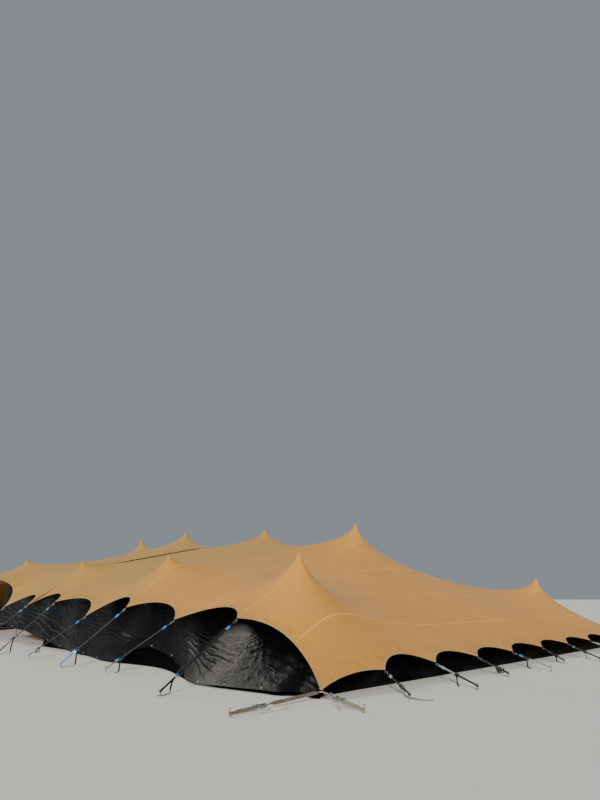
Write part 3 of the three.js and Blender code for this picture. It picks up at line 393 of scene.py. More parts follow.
def solve_net(us, vs):
    """Solves the net for the place of every node, by conjugate gradients."""
    grid_u, grid_v = np.meshgrid(us, vs, indexing="ij")
    points = np.stack([grid_u, grid_v, np.full_like(grid_u, START_HEIGHT)], -1)
    fixed = np.zeros(grid_u.shape, bool)
    for u, v, z in TIES + CORNERS:
        i, j = np.abs(us - u).argmin(), np.abs(vs - v).argmin()
        points[i, j] = (u, v, z)
        fixed[i, j] = True
    for u, v, tip, _ in POLES:
        cap = (np.abs(grid_u - u) <= CAP + 1e-6) & (np.abs(grid_v - v) <= CAP + 1e-6)
        square = (grid_u[cap] - u) ** 2 + (grid_v[cap] - v) ** 2
        points[cap] = np.stack([grid_u[cap], grid_v[cap], tip - square / (2 * CAP_CURVE)], -1)
        fixed |= cap
    middle_u, middle_v = (us[1:] + us[:-1]) / 2, (vs[1:] + vs[:-1]) / 2
    edge_v, edge_u = np.zeros((len(middle_u), len(vs))), np.zeros(len(us))
    end_arc = np.minimum(middle_u, WIDTH - middle_u) < SHORT_STEP
    edge_v[:, 0] = edge_v[:, -1] = EDGE_TENSION * np.where(end_arc, END_ARC_FACTOR, 1)
    edge_u[[0, -1]] = EDGE_TENSION
    along = (carried(vs)[None] * net_tension(middle_u[:, None], vs[None]) + edge_v) / np.diff(us)[:, None]
    across = (carried(us)[:, None] * net_tension(us[:, None], middle_v[None])
              + edge_u[:, None]) / np.diff(vs)[None]
    total = np.zeros(grid_u.shape)
    total[:-1] += along
    total[1:] += along
    total[:, :-1] += across
    total[:, 1:] += across
    free, a, b, d = (~fixed)[..., None], along[..., None], across[..., None], total[..., None]

    def pull(x):
        """How far each free node is from balance, for a change x of the net."""
        out = d * x
        out[:-1] -= a * x[1:]
        out[1:] -= a * x[:-1]
        out[:, :-1] -= b * x[:, 1:]
        out[:, 1:] -= b * x[:, :-1]
        return out * free

    rest = -pull(points)
    step = rest / d
    size = (rest * step).sum((0, 1))
    goal = 1e-10 * np.maximum(size, 1e-9)
    for _ in range(2000):
        change = pull(step)
        share = size / np.maximum((step * change).sum((0, 1)), 1e-30)
        points += share * step
        rest -= share * change
        after = (rest * rest / d).sum((0, 1))
        if (after < goal).all():
            break
        step = rest / d + (after / np.maximum(size, 1e-30)) * step
        size = after
    return points


class FabricNet:
    """The solved net, read at any place of the fabric."""

    def __init__(self):
        pole_u = sorted({p[0] for p in POLES})
        pole_v = sorted({p[1] for p in POLES})
        ties = TIES + CORNERS
        self.us = net_lines(WIDTH, NET_STEP, [WALL_LINE, WIDTH - WALL_LINE] + [t[0] for t in ties], pole_u)
        self.vs = net_lines(LENGTH, NET_STEP, [WALL_LINE, LENGTH - WALL_LINE, JOINT - OVERLAP]
                            + [t[1] for t in ties], pole_v, SEAMS)
        self.points = solve_net(self.us, self.vs) - np.array([WIDTH / 2, LENGTH / 2, 0])

    def at(self, u, v):
        """Points of the fabric, in the part's frame, at arrays of u and v."""
        u, v = np.broadcast_arrays(np.asarray(u, float), np.asarray(v, float))
        i = np.clip(np.searchsorted(self.us, u, "right") - 1, 0, len(self.us) - 2)
        j = np.clip(np.searchsorted(self.vs, v, "right") - 1, 0, len(self.vs) - 2)
        s = ((u - self.us[i]) / (self.us[i + 1] - self.us[i]))[..., None]
        t = ((v - self.vs[j]) / (self.vs[j + 1] - self.vs[j]))[..., None]
        p = self.points
        return ((p[i, j] * (1 - s) + p[i + 1, j] * s) * (1 - t)
                + (p[i, j + 1] * (1 - s) + p[i + 1, j + 1] * s) * t)


def net():
    """The fabric's net, solved when it is first asked for."""
    if "net" not in _made:
        _made["net"] = FabricNet()
    return _made["net"]


def side_line(side, x, inset):
    """u and v of places x along a side of the tent, "inset" inside it."""
    return {"left": (inset, x), "back": (WIDTH - inset, x),
            "right": (x, inset), "end": (x, LENGTH - inset)}[side]


# ---- meshes ----

def link(name, mesh, material=None):
    """An object for a mesh, in the scene."""
    made = bpy.data.objects.new(name, mesh)
    bpy.context.scene.collection.objects.link(made)
    if material is not None:
        mesh.materials.append(material)
    return made


def only(*objects):
    """Selects these objects and nothing else; the first is active."""
    bpy.ops.object.select_all(action="DESELECT")
    for o in objects:
        o.select_set(True)
    bpy.context.view_layer.objects.active = objects[0]


def thicken(obj, thickness):
    """Gives a sheet its thickness, on its underside."""
    only(obj)
    modifier = obj.modifiers.new("shape", "SOLIDIFY")
    modifier.thickness = thickness
    modifier.offset = -1
    bpy.ops.object.modifier_apply(modifier=modifier.name)


def smooth(obj, degrees=35):
    """Shades an object smooth, apart from edges sharper than this."""
    only(obj)
    bpy.ops.object.shade_smooth_by_angle(angle=math.radians(degrees))
    return obj


def cloth_mesh(name, points, cloth, material, seam=None, hem=None):
    """A sheet of quads through a grid of points, with its place on the flat cloth as its UV map."""
    rows, columns = points.shape[:2]
    index = np.arange(rows * columns).reshape(rows, columns)
    quads = np.stack([index[:-1, :-1], index[1:, :-1], index[1:, 1:], index[:-1, 1:]], -1).reshape(-1, 4)
    mesh = bpy.data.meshes.new(name)
    mesh.from_pydata(points.reshape(-1, 3).tolist(), [], quads.tolist())
    layer = mesh.uv_layers.new(name="cloth")
    layer.data.foreach_set("uv", cloth.reshape(-1, 2)[quads.ravel()].astype(np.float32).ravel())
    for label, values in (("seam", seam), ("hem", hem)):
        attribute = mesh.attributes.new(label, "FLOAT", "POINT")
        if values is not None:
            attribute.data.foreach_set("value", values.astype(np.float32).ravel())
    return link(name, mesh, material)


def sweep(name, path, section, sides, material, closed=False):
    """A closed skin swept along a path. "section" holds (across, up) pairs and "sides" the across direction."""
    path = np.asarray(path, float)
    section = np.asarray(section, float)
    count, corners = len(path), len(section)
    if closed:
        tangent = np.roll(path, -1, 0) - np.roll(path, 1, 0)
    else:
        tangent = np.gradient(path, axis=0)
    tangent /= np.linalg.norm(tangent, axis=1, keepdims=True)
    sides = np.broadcast_to(np.asarray(sides, float), path.shape)
    across = sides - (sides * tangent).sum(1, keepdims=True) * tangent
    across /= np.linalg.norm(across, axis=1, keepdims=True)
    up = np.cross(tangent, across)
    points = path[:, None] + section[None, :, :1] * across[:, None] + section[None, :, 1:] * up[:, None]
    steps, around = (np.concatenate([[0], np.linalg.norm(np.diff(line, axis=0), axis=1).cumsum()])
                     for line in (path, np.vstack([section, section[:1]])))
    faces, uvs = [], []
    for i in range(count if closed else count - 1):
        n = (i + 1) % count
        far = steps[i + 1] if i + 1 < count else steps[i] + np.linalg.norm(path[0] - path[i])
        for k in range(corners):
            m = (k + 1) % corners
            faces.append((i * corners + k, i * corners + m, n * corners + m, n * corners + k))
            uvs += [(around[k], steps[i]), (around[k + 1], steps[i]), (around[k + 1], far), (around[k], far)]
    if not closed:
        faces.append(tuple(range(corners))[::-1])
        faces.append(tuple(range((count - 1) * corners, count * corners)))
        uvs += [tuple(section[k]) for k in range(corners)][::-1] + [tuple(section[k]) for k in range(corners)]
    mesh = bpy.data.meshes.new(name)
    mesh.from_pydata(points.reshape(-1, 3).tolist(), [], faces)
    layer = mesh.uv_layers.new(name="cloth")
    layer.data.foreach_set("uv", np.array(uvs, np.float32).ravel())
    shape = bmesh.new()
    shape.from_mesh(mesh)
    bmesh.ops.recalc_face_normals(shape, faces=shape.faces)
    shape.to_mesh(mesh)
    shape.free()
    return link(name, mesh, material)


def flat_section(width, thickness):
    """The outline of webbing: flat, with rounded edges."""
    w, t = width / 2, thickness / 2
    return [(w, 0), (w - t * 0.4, t), (-w + t * 0.4, t), (-w, 0), (-w + t * 0.4, -t), (w - t * 0.4, -t)]


def join(name, objects):
    """Joins pieces into one object, at the origin."""
    only(*objects)
    if len(objects) > 1:
        bpy.ops.object.join()
    made = bpy.context.view_layer.objects.active
    made.name = name
    made.data.name = name
    return made


def copy_to(name, prototype, matrix):
    """A copy of a prototype with its own mesh, placed in its mesh."""
    mesh = prototype.data.copy()
    mesh.name = name
    mesh.transform(matrix)
    return link(name, mesh)


def remove(*objects):
    """Takes prototypes out of the scene once their copies are made."""
    for o in objects:
        bpy.data.objects.remove(o, do_unlink=True)


def hand_over(made, slot, *nodes, body="tent"):
    """Puts a piece on the body that it rides on and hides the CAD nodes that it stands for; the argument slot
    is not used.
    """
    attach(made, body)
    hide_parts(*nodes)


# ---- hard pieces, modelled in edit mode ----

def start_edit(name, material):
    """Names the new primitive, gives it its material and opens it in edit mode, all selected."""
    made = bpy.context.active_object
    made.name = name
    made.data.name = name
    made.data.materials.append(material)
    bpy.ops.object.mode_set(mode="EDIT")
    return made


def end_edit():
    """Leaves edit mode."""
    bpy.ops.object.mode_set(mode="OBJECT")


def select_where(obj, test, kind="FACE"):
    """Selects the faces, edges or vertices that the test passes."""
    bpy.ops.mesh.select_all(action="DESELECT")
    bpy.ops.mesh.select_mode(type=kind)
    shape = bmesh.from_edit_mesh(obj.data)
    items = {"FACE": shape.faces, "EDGE": shape.edges, "VERT": shape.verts}[kind]
    for item in items:
        if test(item):
            item.select = True
    if kind == "VERT":
        shape.select_flush(True)
    else:
        shape.select_flush_mode()
    bmesh.update_edit_mesh(obj.data)


def bevel_where(obj, test, offset, segments):
    """Bevels the edges that the test passes."""
    select_where(obj, test, "EDGE")
    bpy.ops.mesh.bevel(offset=offset, segments=segments, affect="EDGES")


def extrude(*step):
    """Extrudes the selected faces by a step."""
    bpy.ops.mesh.extrude_region_move(TRANSFORM_OT_translate={"value": step})


def settle(obj, degrees=35):
    """Puts a finished hard piece's place in its mesh and smooths its rounds."""
    only(obj)
    bpy.ops.object.transform_apply(location=True, rotation=True, scale=True)
    return smooth(obj, degrees)


def plate(name, material, centre, size, bevel, axis=None):
    """A flat plate with its edges broken; with an axis, only the corners along that axis are rounded."""
    bpy.ops.mesh.primitive_cube_add(size=1, location=centre)
    made = start_edit(name, material)
    bpy.ops.transform.resize(value=size)
    if axis is not None:
        bevel_where(made, lambda e: abs((e.verts[0].co - e.verts[1].co).normalized()[axis]) > 0.9, bevel, 4)
    else:
        bpy.ops.mesh.bevel(offset=bevel, segments=2, affect="EDGES")
    end_edit()
    return settle(made)


def rod(name, material, start, end, radius, sides, bevel):
    """A round bar between two points, its ends bevelled."""
    start, end = Vector(start), Vector(end)
    line = end - start
    turn = line.to_track_quat("Z", "Y").to_euler()
    bpy.ops.mesh.primitive_cylinder_add(vertices=sides, radius=radius, depth=line.length,
                                        location=(start + end) / 2, rotation=turn)
    made = start_edit(name, material)
    bevel_where(made, lambda e: any(len(f.verts) > 4 for f in e.link_faces), bevel, 2)
    end_edit()
    return settle(made)


def ring(name, material, centre, major, minor, stretch=0.0, axis="Z", segments=20, rounds=8):
    """A welded ring, drawn out into a link by "stretch" along X."""
    bpy.ops.mesh.primitive_torus_add(major_segments=segments, minor_segments=rounds, major_radius=major,
                                     minor_radius=minor, location=(0, 0, 0))
    made = start_edit(name, material)
    if stretch:
        select_where(made, lambda v: v.co.x > 1e-5, "VERT")
        bpy.ops.transform.translate(value=(stretch / 2, 0, 0))
        select_where(made, lambda v: v.co.x < -1e-5, "VERT")
        bpy.ops.transform.translate(value=(-stretch / 2, 0, 0))
    end_edit()
    quarter = math.pi / 2
    turn = {"Z": Matrix(), "Y": Matrix.Rotation(quarter, 4, "X"), "X": Matrix.Rotation(quarter, 4, "Y")}[axis]
    made.data.transform(Matrix.Translation(centre) @ turn)
    return smooth(made, 60)


# ---- sizes and colours that a user would change ----

def metres(name, description, default, low=-1.0):
    """A size that a user can change, in metres."""
    return FloatProperty(name=name, description=description, default=default, min=low, unit="LENGTH")


def tint(name, description, code):
    """A colour that a user can change."""
    return FloatVectorProperty(name=name, description=description, default=linear(code), size=4,
                               subtype="COLOR")


class TentSizes(PropertyGroup):
    """Sizes of the tent's soft and hard pieces."""
    fabric_thickness: metres("Fabric thickness", "Thickness of the stretch fabric", 0.0025, 0.0005)
    seam_height: metres("Seam height", "How far a welded seam stands above the fabric", 0.0015, 0.0)
    hem_flat: metres("Hem width", "Width of hem webbing that lies on the fabric", 0.034, 0.005)
    hem_lip: metres("Hem lip", "Width of hem webbing that hangs over the edge", 0.015, 0.005)
    wall_thickness: metres("Wall thickness", "Thickness of the wall fabric", 0.002, 0.0005)
    wall_mesh: metres("Wall mesh", "Length of the quads that the walls are made of", 0.034, 0.01)
    wall_mesh_height: metres("Wall mesh height", "Height of the walls' quads", 0.017, 0.005)
    wall_billow: metres("Wall billow", "How far the middle of a wall 1.5 m high stands out", 0.03)
    fold_depth: metres("Fold depth", "Depth of the deepest folds in the walls", 0.016, 0.0)
    pole_diameter: metres("Pole diameter", "Diameter of a pole's lower tube", 0.064, 0.02)
    upper_diameter: metres("Upper pole diameter", "Diameter of a pole's upper tube", 0.050, 0.02)
    cap_diameter: metres("Pole cap diameter", "Diameter of the dome under the fabric", 0.08, 0.05)
    strap_width: metres("Strap width", "Width of a side strap's webbing", 0.032, 0.01)
    corner_strap_width: metres("Corner strap width", "Width of a corner strap's webbing", 0.050, 0.01)
    webbing_thickness: metres("Webbing thickness", "Thickness of the strap webbing", 0.003, 0.001)
    stake_height: metres("Stake height", "How far a stake stands out of the ground", 0.095, 0.05)
    stake_diameter: metres("Stake diameter", "Diameter of a stake", 0.026, 0.01)


class TentColours(PropertyGroup):
    """Colours of the tent's fabrics."""
    fabric: tint("Fabric", "Main colour of the stretch fabric", "#BD863C")
    fabric_pale: tint("Pale fabric", "Its paler patches", "#C38F46")
    fabric_dust: tint("Dusty fabric", "Where dust dulls the fabric", "#B8884C")
    fabric_seam: tint("Seam", "Colour of the welded seams", "#E6AF5C")
    # Painted shade: the duller tone laid over the further half of the fabric.
    fabric_far_shade: tint("Shaded far fabric", "Painted shade colour of the further half", "#A38142")
    fabric_soil: tint("Soiled fabric", "Soil near the hems", "#86602E")
    wall: tint("Wall", "Main colour of the wall fabric", "#020304")
    wall_dust: tint("Dusty wall", "Where dust greys the wall", "#05070A")


# ---- the fabric ----

def ease(x, low, high):
    """From 0 at low to 1 at high, with level ends."""
    t = np.clip((np.asarray(x, float) - low) / (high - low), 0, 1)
    return t * t * (3 - 2 * t)


def through(pairs, x):
    """Eased values between (place, value) pairs."""
    places = np.array([p for p, _ in pairs])
    values = np.array([v for _, v in pairs])
    i = np.clip(np.searchsorted(places, x, "left"), 1, len(places) - 1)
    return values[i - 1] + (values[i] - values[i - 1]) * ease(
        (x - places[i - 1]) / (places[i] - places[i - 1]), 0, 1)


def drift(x, y, seed):
    """Smooth noise between -1 and 1 at arrays of places, from a seeded lattice."""
    table = np.random.default_rng(seed).uniform(-1, 1, (64, 64))
    i, j = np.floor(x).astype(int), np.floor(y).astype(int)
    s, t = ease(x - i, 0, 1), ease(y - j, 0, 1)
    near = table[i % 64, j % 64] * (1 - s) + table[(i + 1) % 64, j % 64] * s
    far = table[i % 64, (j + 1) % 64] * (1 - s) + table[(i + 1) % 64, (j + 1) % 64] * s
    return near * (1 - t) + far * t


def build_canopy(name, low, high):
    """One canopy of the net between two v lines, its seams raised, thickened downwards."""
    shape = net()
    sizes = bpy.context.scene.tent_sizes
    keep = (shape.vs >= low - 1e-6) & (shape.vs <= high + 1e-6)
    us, vs = shape.us, shape.vs[keep]
    grid_u, grid_v = np.meshgrid(us, vs, indexing="ij")
    points = shape.points[:, keep].copy()
    seam = np.zeros(grid_u.shape)
    for line in SEAMS:
        seam = np.maximum(seam, 1 - ease(abs(grid_v - line), SEAM_TOP, SEAM_FOOT))
    points[..., 2] += sizes.seam_height * seam
    if low > 0:
        # It lies on the near canopy's edge, and stands open in two places between the lashings.
        slit = 0.028 * (ease(grid_u, 2.3, 3.3) - ease(grid_u, 5.3, 6.04)) + 0.03 * (1 - ease(grid_u, 0.1, 0.45))
        points[..., 2] += (0.006 + slit) * (1 - ease(grid_v, low, low + 0.7))
    free = np.minimum(grid_u, WIDTH - grid_u)
    free = np.minimum(free, grid_v if low == 0 else LENGTH - grid_v)
    made = cloth_mesh(name, points, np.stack([grid_u, grid_v], -1), finish("knitted_stretch_fabric"), seam,
                      1 - ease(free, 0.05, 0.4))
    thicken(made, sizes.fabric_thickness)
    return smooth(made, 60)


def edge_points(side, inset=0.0):
    """Points along one free edge of the tent, in order, "inset" inside it."""
    lines = net().vs if side in ("left", "back") else net().us
    return net().at(*side_line(side, lines, inset))


def build_hem(name, side):
    """Hem webbing folded over an edge: a flat part on the fabric and a lip that hangs over it."""
    sizes = bpy.context.scene.tent_sizes
    edge, inside = edge_points(side), edge_points(side, 0.05)
    outward = edge - inside
    outward /= np.linalg.norm(outward, axis=1, keepdims=True)
    # The lip hangs where the edge's own "up" points down along the sweep on two of the sides.
    turn = 1 if side in ("right", "back") else -1
    flat, lip = sizes.hem_flat, sizes.hem_lip
    outline = [(-flat, 0.0012), (0.003, 0.0026), (0.008, 0.0005), (0.0105, -0.004), (0.010, -lip),
               (0.0065, -lip - 0.0015), (0.003, -lip), (0.0015, -0.006), (-flat, -0.0045)]
    return sweep(name, edge, [(a, b * turn) for a, b in outline], outward, finish("tan_webbing"))


# ---- poles ----

# A pole's cap is this much of its own radius high, and its crest lies this far under the fabric's top side.
DOME_RISE = 0.65
DOME_DROP = 0.0123
# The collar sits at this share of a pole's height.
COLLAR_AT = 0.55


def pole_prototypes():
    """Base plate, collar and dome, modelled once at the origin."""
    if "pole" in _made:
        return _made["pole"]
    sizes = bpy.context.scene.tent_sizes
    zinc, rubber = finish("zinc_plated_steel"), finish("moulded_rubber")
    radius, upper = sizes.pole_diameter / 2, sizes.upper_diameter / 2
    base = plate("base", zinc, (0, 0, 0.004), (0.2, 0.2, 0.008), 0.012, axis=2)
    bpy.ops.mesh.primitive_cylinder_add(vertices=32, radius=radius + 0.006, depth=0.05, location=(0, 0, 0.033))
    socket = start_edit("socket", zinc)
    select_where(socket, lambda f: f.normal.z > 0.9)
    bpy.ops.mesh.inset(thickness=0.004)
    extrude(0, 0, -0.006)
    bevel_where(socket, lambda e: e.calc_face_angle(0) > 1.0 and min(v.co.z for v in e.verts) > 0.05, 0.001, 2)
    end_edit()
    settle(socket)
    bolts = [rod("bolt", zinc, (x, y, 0.006), (x, y, 0.016), 0.009, 6, 0.0015)
             for x in (-0.075, 0.075) for y in (-0.075, 0.075)]
    foot = join("pole_foot", [base, socket] + bolts)
    bpy.ops.mesh.primitive_cylinder_add(vertices=32, radius=radius + 0.008, depth=0.06, location=(0, 0, 0.03))
    clamp = start_edit("clamp", zinc)
    select_where(clamp, lambda f: abs(f.normal.z) > 0.9)
    bpy.ops.mesh.inset(thickness=0.006, use_individual=True)
    bevel_where(clamp, lambda e: e.calc_face_angle(0) > 1.0, 0.003, 3)
    end_edit()
    settle(clamp)
    pin = rod("pin", zinc, (-radius - 0.03, 0, 0.03), (radius + 0.022, 0, 0.03), 0.006, 12, 0.001)
    pull = ring("pull", zinc, (-radius - 0.036, 0, 0.03), 0.014, 0.002, axis="Y")
    collar = join("pole_collar", [clamp, pin, pull])
    cap_radius = sizes.cap_diameter / 2
    bpy.ops.mesh.primitive_uv_sphere_add(segments=32, ring_count=20, radius=cap_radius)
    dome = start_edit("dome", rubber)
    bpy.ops.mesh.bisect(plane_co=(0, 0, 0), plane_no=(0, 0, 1), clear_inner=True, use_fill=True)
    select_where(dome, lambda v: v.co.z > 1e-4, "VERT")
    bpy.ops.transform.resize(value=(1, 1, DOME_RISE), center_override=(0, 0, 0))
    select_where(dome, lambda f: f.normal.z < -0.9)
    extrude(0, 0, -0.014)
    bpy.ops.mesh.inset(thickness=cap_radius - upper - 0.006)
    extrude(0, 0, -0.034)
    bpy.ops.mesh.select_all(action="SELECT")
    bpy.ops.mesh.normals_make_consistent(inside=False)
    end_edit()
    settle(dome, 50)
    dome.name = "pole_dome"
    _made["pole"] = (foot, collar, dome)
    return _made["pole"]


def build_pole(name, node, u, v, tip):
    """One pole: base plate, lower tube, collar with its pin, upper tube and dome cap."""
    sizes = bpy.context.scene.tent_sizes
    foot, collar, dome = pole_prototypes()
    stand = lambda z: place(u, v, z)
    top = tip - DOME_DROP
    middle = top * COLLAR_AT
    under_dome = top - DOME_RISE * sizes.cap_diameter / 2
    metal = finish("mill_aluminium")
    tubes = []
    for start, end, radius in ((0.01, middle + 0.004, sizes.pole_diameter / 2),
                               (middle, under_dome - 0.03, sizes.upper_diameter / 2)):
        tubes.append(rod("tube", metal, stand(start), stand(end), radius, 24, 0.001))
    parts = [copy_to("part", piece, Matrix.Translation(stand(z)))
             for piece, z in ((foot, 0.0), (collar, middle), (dome, under_dome))]
    made = join(name, tubes + parts)
    hand_over(made, "pole_metal", node)


# ---- walls ----

# Where "inwards" is from each side.
INWARD = {"left": (1, 0, 0), "back": (-1, 0, 0), "right": (0, 1, 0), "end": (0, -1, 0)}
# How far under the fabric a wall's top hangs, and how deep its finest crinkles are.
WALL_DROP = 0.0135
CRINKLE = 0.003
# The black liners of painted shade hang lower than the walls and this far inside them.
SHADE_LINER_DROP, SHADE_LINER_INSET = 0.06, 0.1
# The left wall starts here beside the near corner. Its panels, from and to: the last two leave the entrance.
WALL_START = 0.12
LEFT_PANELS = [(WALL_START, 6.0), (6.0, 12.0), (12.0, 16.0), (20.0, LENGTH - WALL_LINE)]
# An eyelet's middle lies this far above the hem's edge.
EYELET_RISE = 0.04


def wall_feet(side, x):
    """Points of the ground that a wall reaches down to, at places x along its side."""
    u, v = (through(LEFT_FOOT, x), x) if side == "left" else side_line(side, x, SIDE_FOOT)
    return np.stack(np.broadcast_arrays(u - WIDTH / 2, v - LENGTH / 2, 0.0), -1)


def wall_surface(tops, feet, inward, t, billow):
    """Points between a line of tops and a line of feet, standing out in the middle as the wall billows."""
    t = t[..., None]
    points = tops * (1 - t) + feet * t
    # It hangs straight down at its top and leaves the upright lower down.
    points[..., :2] = tops[..., :2] * (1 - t ** 1.5) + feet[..., :2] * t ** 1.5
    return points - inward * billow * np.sin(math.pi * t) * tops[..., 2:] / 1.5


def fold_field(x, y, groups):
    """Height of the folds at places of a wall, from groups of folds.

    Each group: middle x and y, half its length and width, the angle it runs at, spacing, height, seed."""
    total = np.zeros(np.shape(x))
    for middle_x, middle_y, length, width, angle, spacing, height, seed in groups:
        dx, dy = x - middle_x, y - middle_y
        c, s = math.cos(math.radians(angle)), math.sin(math.radians(angle))
        along, across = dx * c + dy * s, dy * c - dx * s
        window = np.exp(-((along / length) ** 2 + (across / width) ** 2) ** 2)
        # They run together at the far end, each with a narrow crest and its own strength.
        phase = across / (spacing * (1 - 0.3 * along / length))
        phase = phase + 0.55 * drift(along / 0.6 + 9, across / 0.25 + 5, seed)
        wave = 1.9 * np.exp(1.6 * (np.cos(2 * math.pi * phase) - 1)) - 0.8
        ends = 0.55 + 0.45 * drift(along / 0.35 + 3, across / (spacing * 1.5) + 7, seed + 1)
        total += height * window * wave * ends
    return total


def wall_grid(side, low, high, hem_of, groups, seed, drop=WALL_DROP, inset=0.0, coarse=1.0):
    """A wall sheet between two places along its side. "hem_of" gives the height at which it ends.

    Returns the places along it, its points, and its places on the flat cloth: (along, down)."""
    sizes = bpy.context.scene.tent_sizes
    columns = max(int((high - low) / (sizes.wall_mesh * coarse)), 2) + 1
    along = np.linspace(low, high, columns)
    tops, feet = net().at(*side_line(side, along, WALL_LINE)), wall_feet(side, along)
    tops[:, 2] -= drop
    inward = np.array(INWARD[side], float)
    height = np.linalg.norm(tops - feet, axis=1).max()
    rows = max(int(height / (sizes.wall_mesh_height * coarse)), 4) + 1
    ends = np.clip((tops[:, 2] - hem_of(along)) / np.maximum(tops[:, 2], 1e-3), 0.05, 1)
    t = np.linspace(0, 1, rows)[None] * ends[:, None]
    points = wall_surface(tops[:, None], feet[:, None], inward, t, sizes.wall_billow)
    x = np.broadcast_to(along[:, None], t.shape)
    down = t * np.linalg.norm(tops - feet, axis=1)[:, None]
    y = points[..., 2]
    # Folds fade out at the line that the wall hangs from, and a little at its hem.
    hold = ease(down, 0.0, 0.25) * (0.45 + 0.55 * ease(ends[:, None] - t, 0, 0.12))
    depth = fold_field(x, y, groups) + sizes.fold_depth * 0.5 * drift(x / 0.55, y / 0.22, seed)
    depth = depth + sizes.fold_depth * 0.25 * drift(x / 0.21, y / 0.1, seed + 1)
    depth = depth * hold + CRINKLE * drift(x / 0.08, y / 0.06, seed + 2) * ease(down, 0, 0.1)
    points = points - inward * (depth[..., None] - inset)
    return along, points, np.stack([x, down], -1)


def build_wall(name, side, grid, node, seams=(), cloth_finish="coated_wall_fabric"):
    """A wall sheet from its grid of points, with its sewn seams darker."""
    along, points, cloth = grid
    x, down = cloth[..., 0], cloth[..., 1]
    # Its flat size is measured along its grid.
    seam = np.zeros(x.shape)
    for (x0, d0), (x1, d1) in seams:
        length = math.hypot(x1 - x0, d1 - d0)
        off = abs((x - x0) * (d1 - d0) - (down - d0) * (x1 - x0)) / length
        span = ((x - x0) * (x1 - x0) + (down - d0) * (d1 - d0)) / length
        inside = (span > -0.02) & (span < length + 0.02)
        seam = np.maximum(seam, (1 - ease(off, 0.012, 0.03)) * inside)
    if side in ("back", "right"):
        points, cloth, seam = points[:, ::-1], cloth[:, ::-1], seam[:, ::-1]
    made = cloth_mesh(name, points, cloth, finish(cloth_finish), seam)
    thicken(made, bpy.context.scene.tent_sizes.wall_thickness)
    smooth(made, 80)
    hand_over(made, "wall_fabric", node)


def build_eyelets(name, grid, places, node):
    """Pressed eyelets in a wall's hem, at places along it, a little above its edge."""
    along, points, _ = grid
    rings = []
    for x_there in places:
        i = int(np.clip(np.searchsorted(along, x_there), 1, len(along) - 2))
        rise = np.linalg.norm(points[i, :-1] - points[i, -1:], axis=1)
        j = int(np.abs(rise - EYELET_RISE).argmin())
        x = Vector(points[i + 1, j] - points[i - 1, j]).normalized()
        down = Vector(points[i, j + 1] - points[i, j - 1]).normalized()
        out = down.cross(x).normalized()
        turn = Matrix((x, out.cross(x), out)).transposed().to_4x4()
        turn.translation = Vector(points[i, j]) + out * 0.0005
        rings.append(ring("eyelet", finish("zinc_plated_steel"), (0, 0, 0), 0.0135, 0.0042))
        rings[-1].data.transform(turn)
    made = join(name, rings)
    hand_over(made, "plated_steel", node)


# Folds of the left wall, in metres along it and above the ground: middle, half length and width, the angle
# they run at, spacing, height, seed.
LEFT_FOLDS = [
    (2.95, 0.42, 1.0, 0.21, 10, 0.085, 0.028, 3), (3.4, 0.64, 0.6, 0.08, 6, 0.075, 0.007, 4),
    (2.5, 0.13, 0.5, 0.09, 9, 0.09, 0.006, 6), (1.1, 0.28, 1.0, 0.24, 14, 0.11, 0.013, 5),
    (0.8, 0.39, 0.35, 0.05, -6, 0.16, 0.018, 8), (1.6, 0.72, 0.5, 0.22, 60, 0.1, 0.009, 10),
    (1.6, 0.70, 0.5, 0.22, -25, 0.1, 0.009, 12), (7.9, 0.66, 1.5, 0.30, 4, 0.11, 0.011, 7),
    (11.9, 0.62, 1.6, 0.22, 9, 0.16, 0.016, 9), (14.5, 0.7, 1.5, 0.3, 12, 0.2, 0.014, 11),
]
SIDE_FOLDS = [(2.0 + 2.6 * k, 0.3, 1.2, 0.35, (-6, 5, -3, 7, 2, -5, 4, -2, 5)[k], 0.16, 0.012, 20 + k)
              for k in range(9)]
# Sewn seams of the left wall: from (along, down) to (along, down).
LEFT_SEAMS = [((2.35, 0.1), (2.35, 1.6)), ((6.25, 0.1), (6.7, 1.6)), ((9.6, 0.1), (9.4, 1.6)),
              ((13.2, 0.1), (13.2, 1.6))]
# Eyelets in its hem, in metres along it.
EYELETS = [1.05, 1.8, 2.5, 3.35, 4.4, 5.4, 6.5, 7.5, 8.6, 9.6, 10.6, 11.5, 12.5, 13.5, 14.6, 15.6, 20.5, 21.5,
           22.5, 23.2]


# ---- straps ----

# A ratchet's axle lies this far along its frame. The corner ratchets and their webbing are this much heavier.
AXLE = 0.018
LARGE = 1.3
# The webbing's share of the width between a ratchet's cheeks.
WEBBING_SHARE = 0.94
# The corner ring's radius, and the length that each link adds to the chain.
RING_RADIUS = 0.034
LINK_STEP = 0.036


def strap_frame(start, foot, grip_height):
    """Axes of a strap from its start to its stake: x along it, y across it, z up from its face."""
    start, foot = Vector(start), Vector(foot)
    away = Vector((foot.x - start.x, foot.y - start.y, 0)).normalized()
    grip = foot + away * STAKE_LEAN * grip_height + UP * grip_height
    x = (grip - start).normalized()
    y = UP.cross(x).normalized()
    frame = Matrix((x, y, x.cross(y))).transposed().to_4x4()
    frame.translation = start
    return frame, (grip - start).length, away


def stake_axis(away):
    """The way a stake points, leaning away from what it holds."""
    return (away * STAKE_LEAN + UP).normalized()


def band(name, path, width, thickness, sides, material, closed=False):
    """Webbing along a path; "sides" is the direction of its width, one for each point or one for all."""
    return sweep(name, path, flat_section(width, thickness), sides, material, closed)


def snap_hook(zinc):
    """A screw-gate carabiner, 80 mm long, lying along +X from the origin."""
    loop = ring("loop", zinc, (0.04, 0, 0), 0.0165, 0.0035, stretch=0.04, segments=24, rounds=8)
    nut = rod("nut", zinc, (0.026, 0.0165, 0), (0.052, 0.0165, 0), 0.0058, 8, 0.0008)
    return join("snap_hook", [loop, nut])


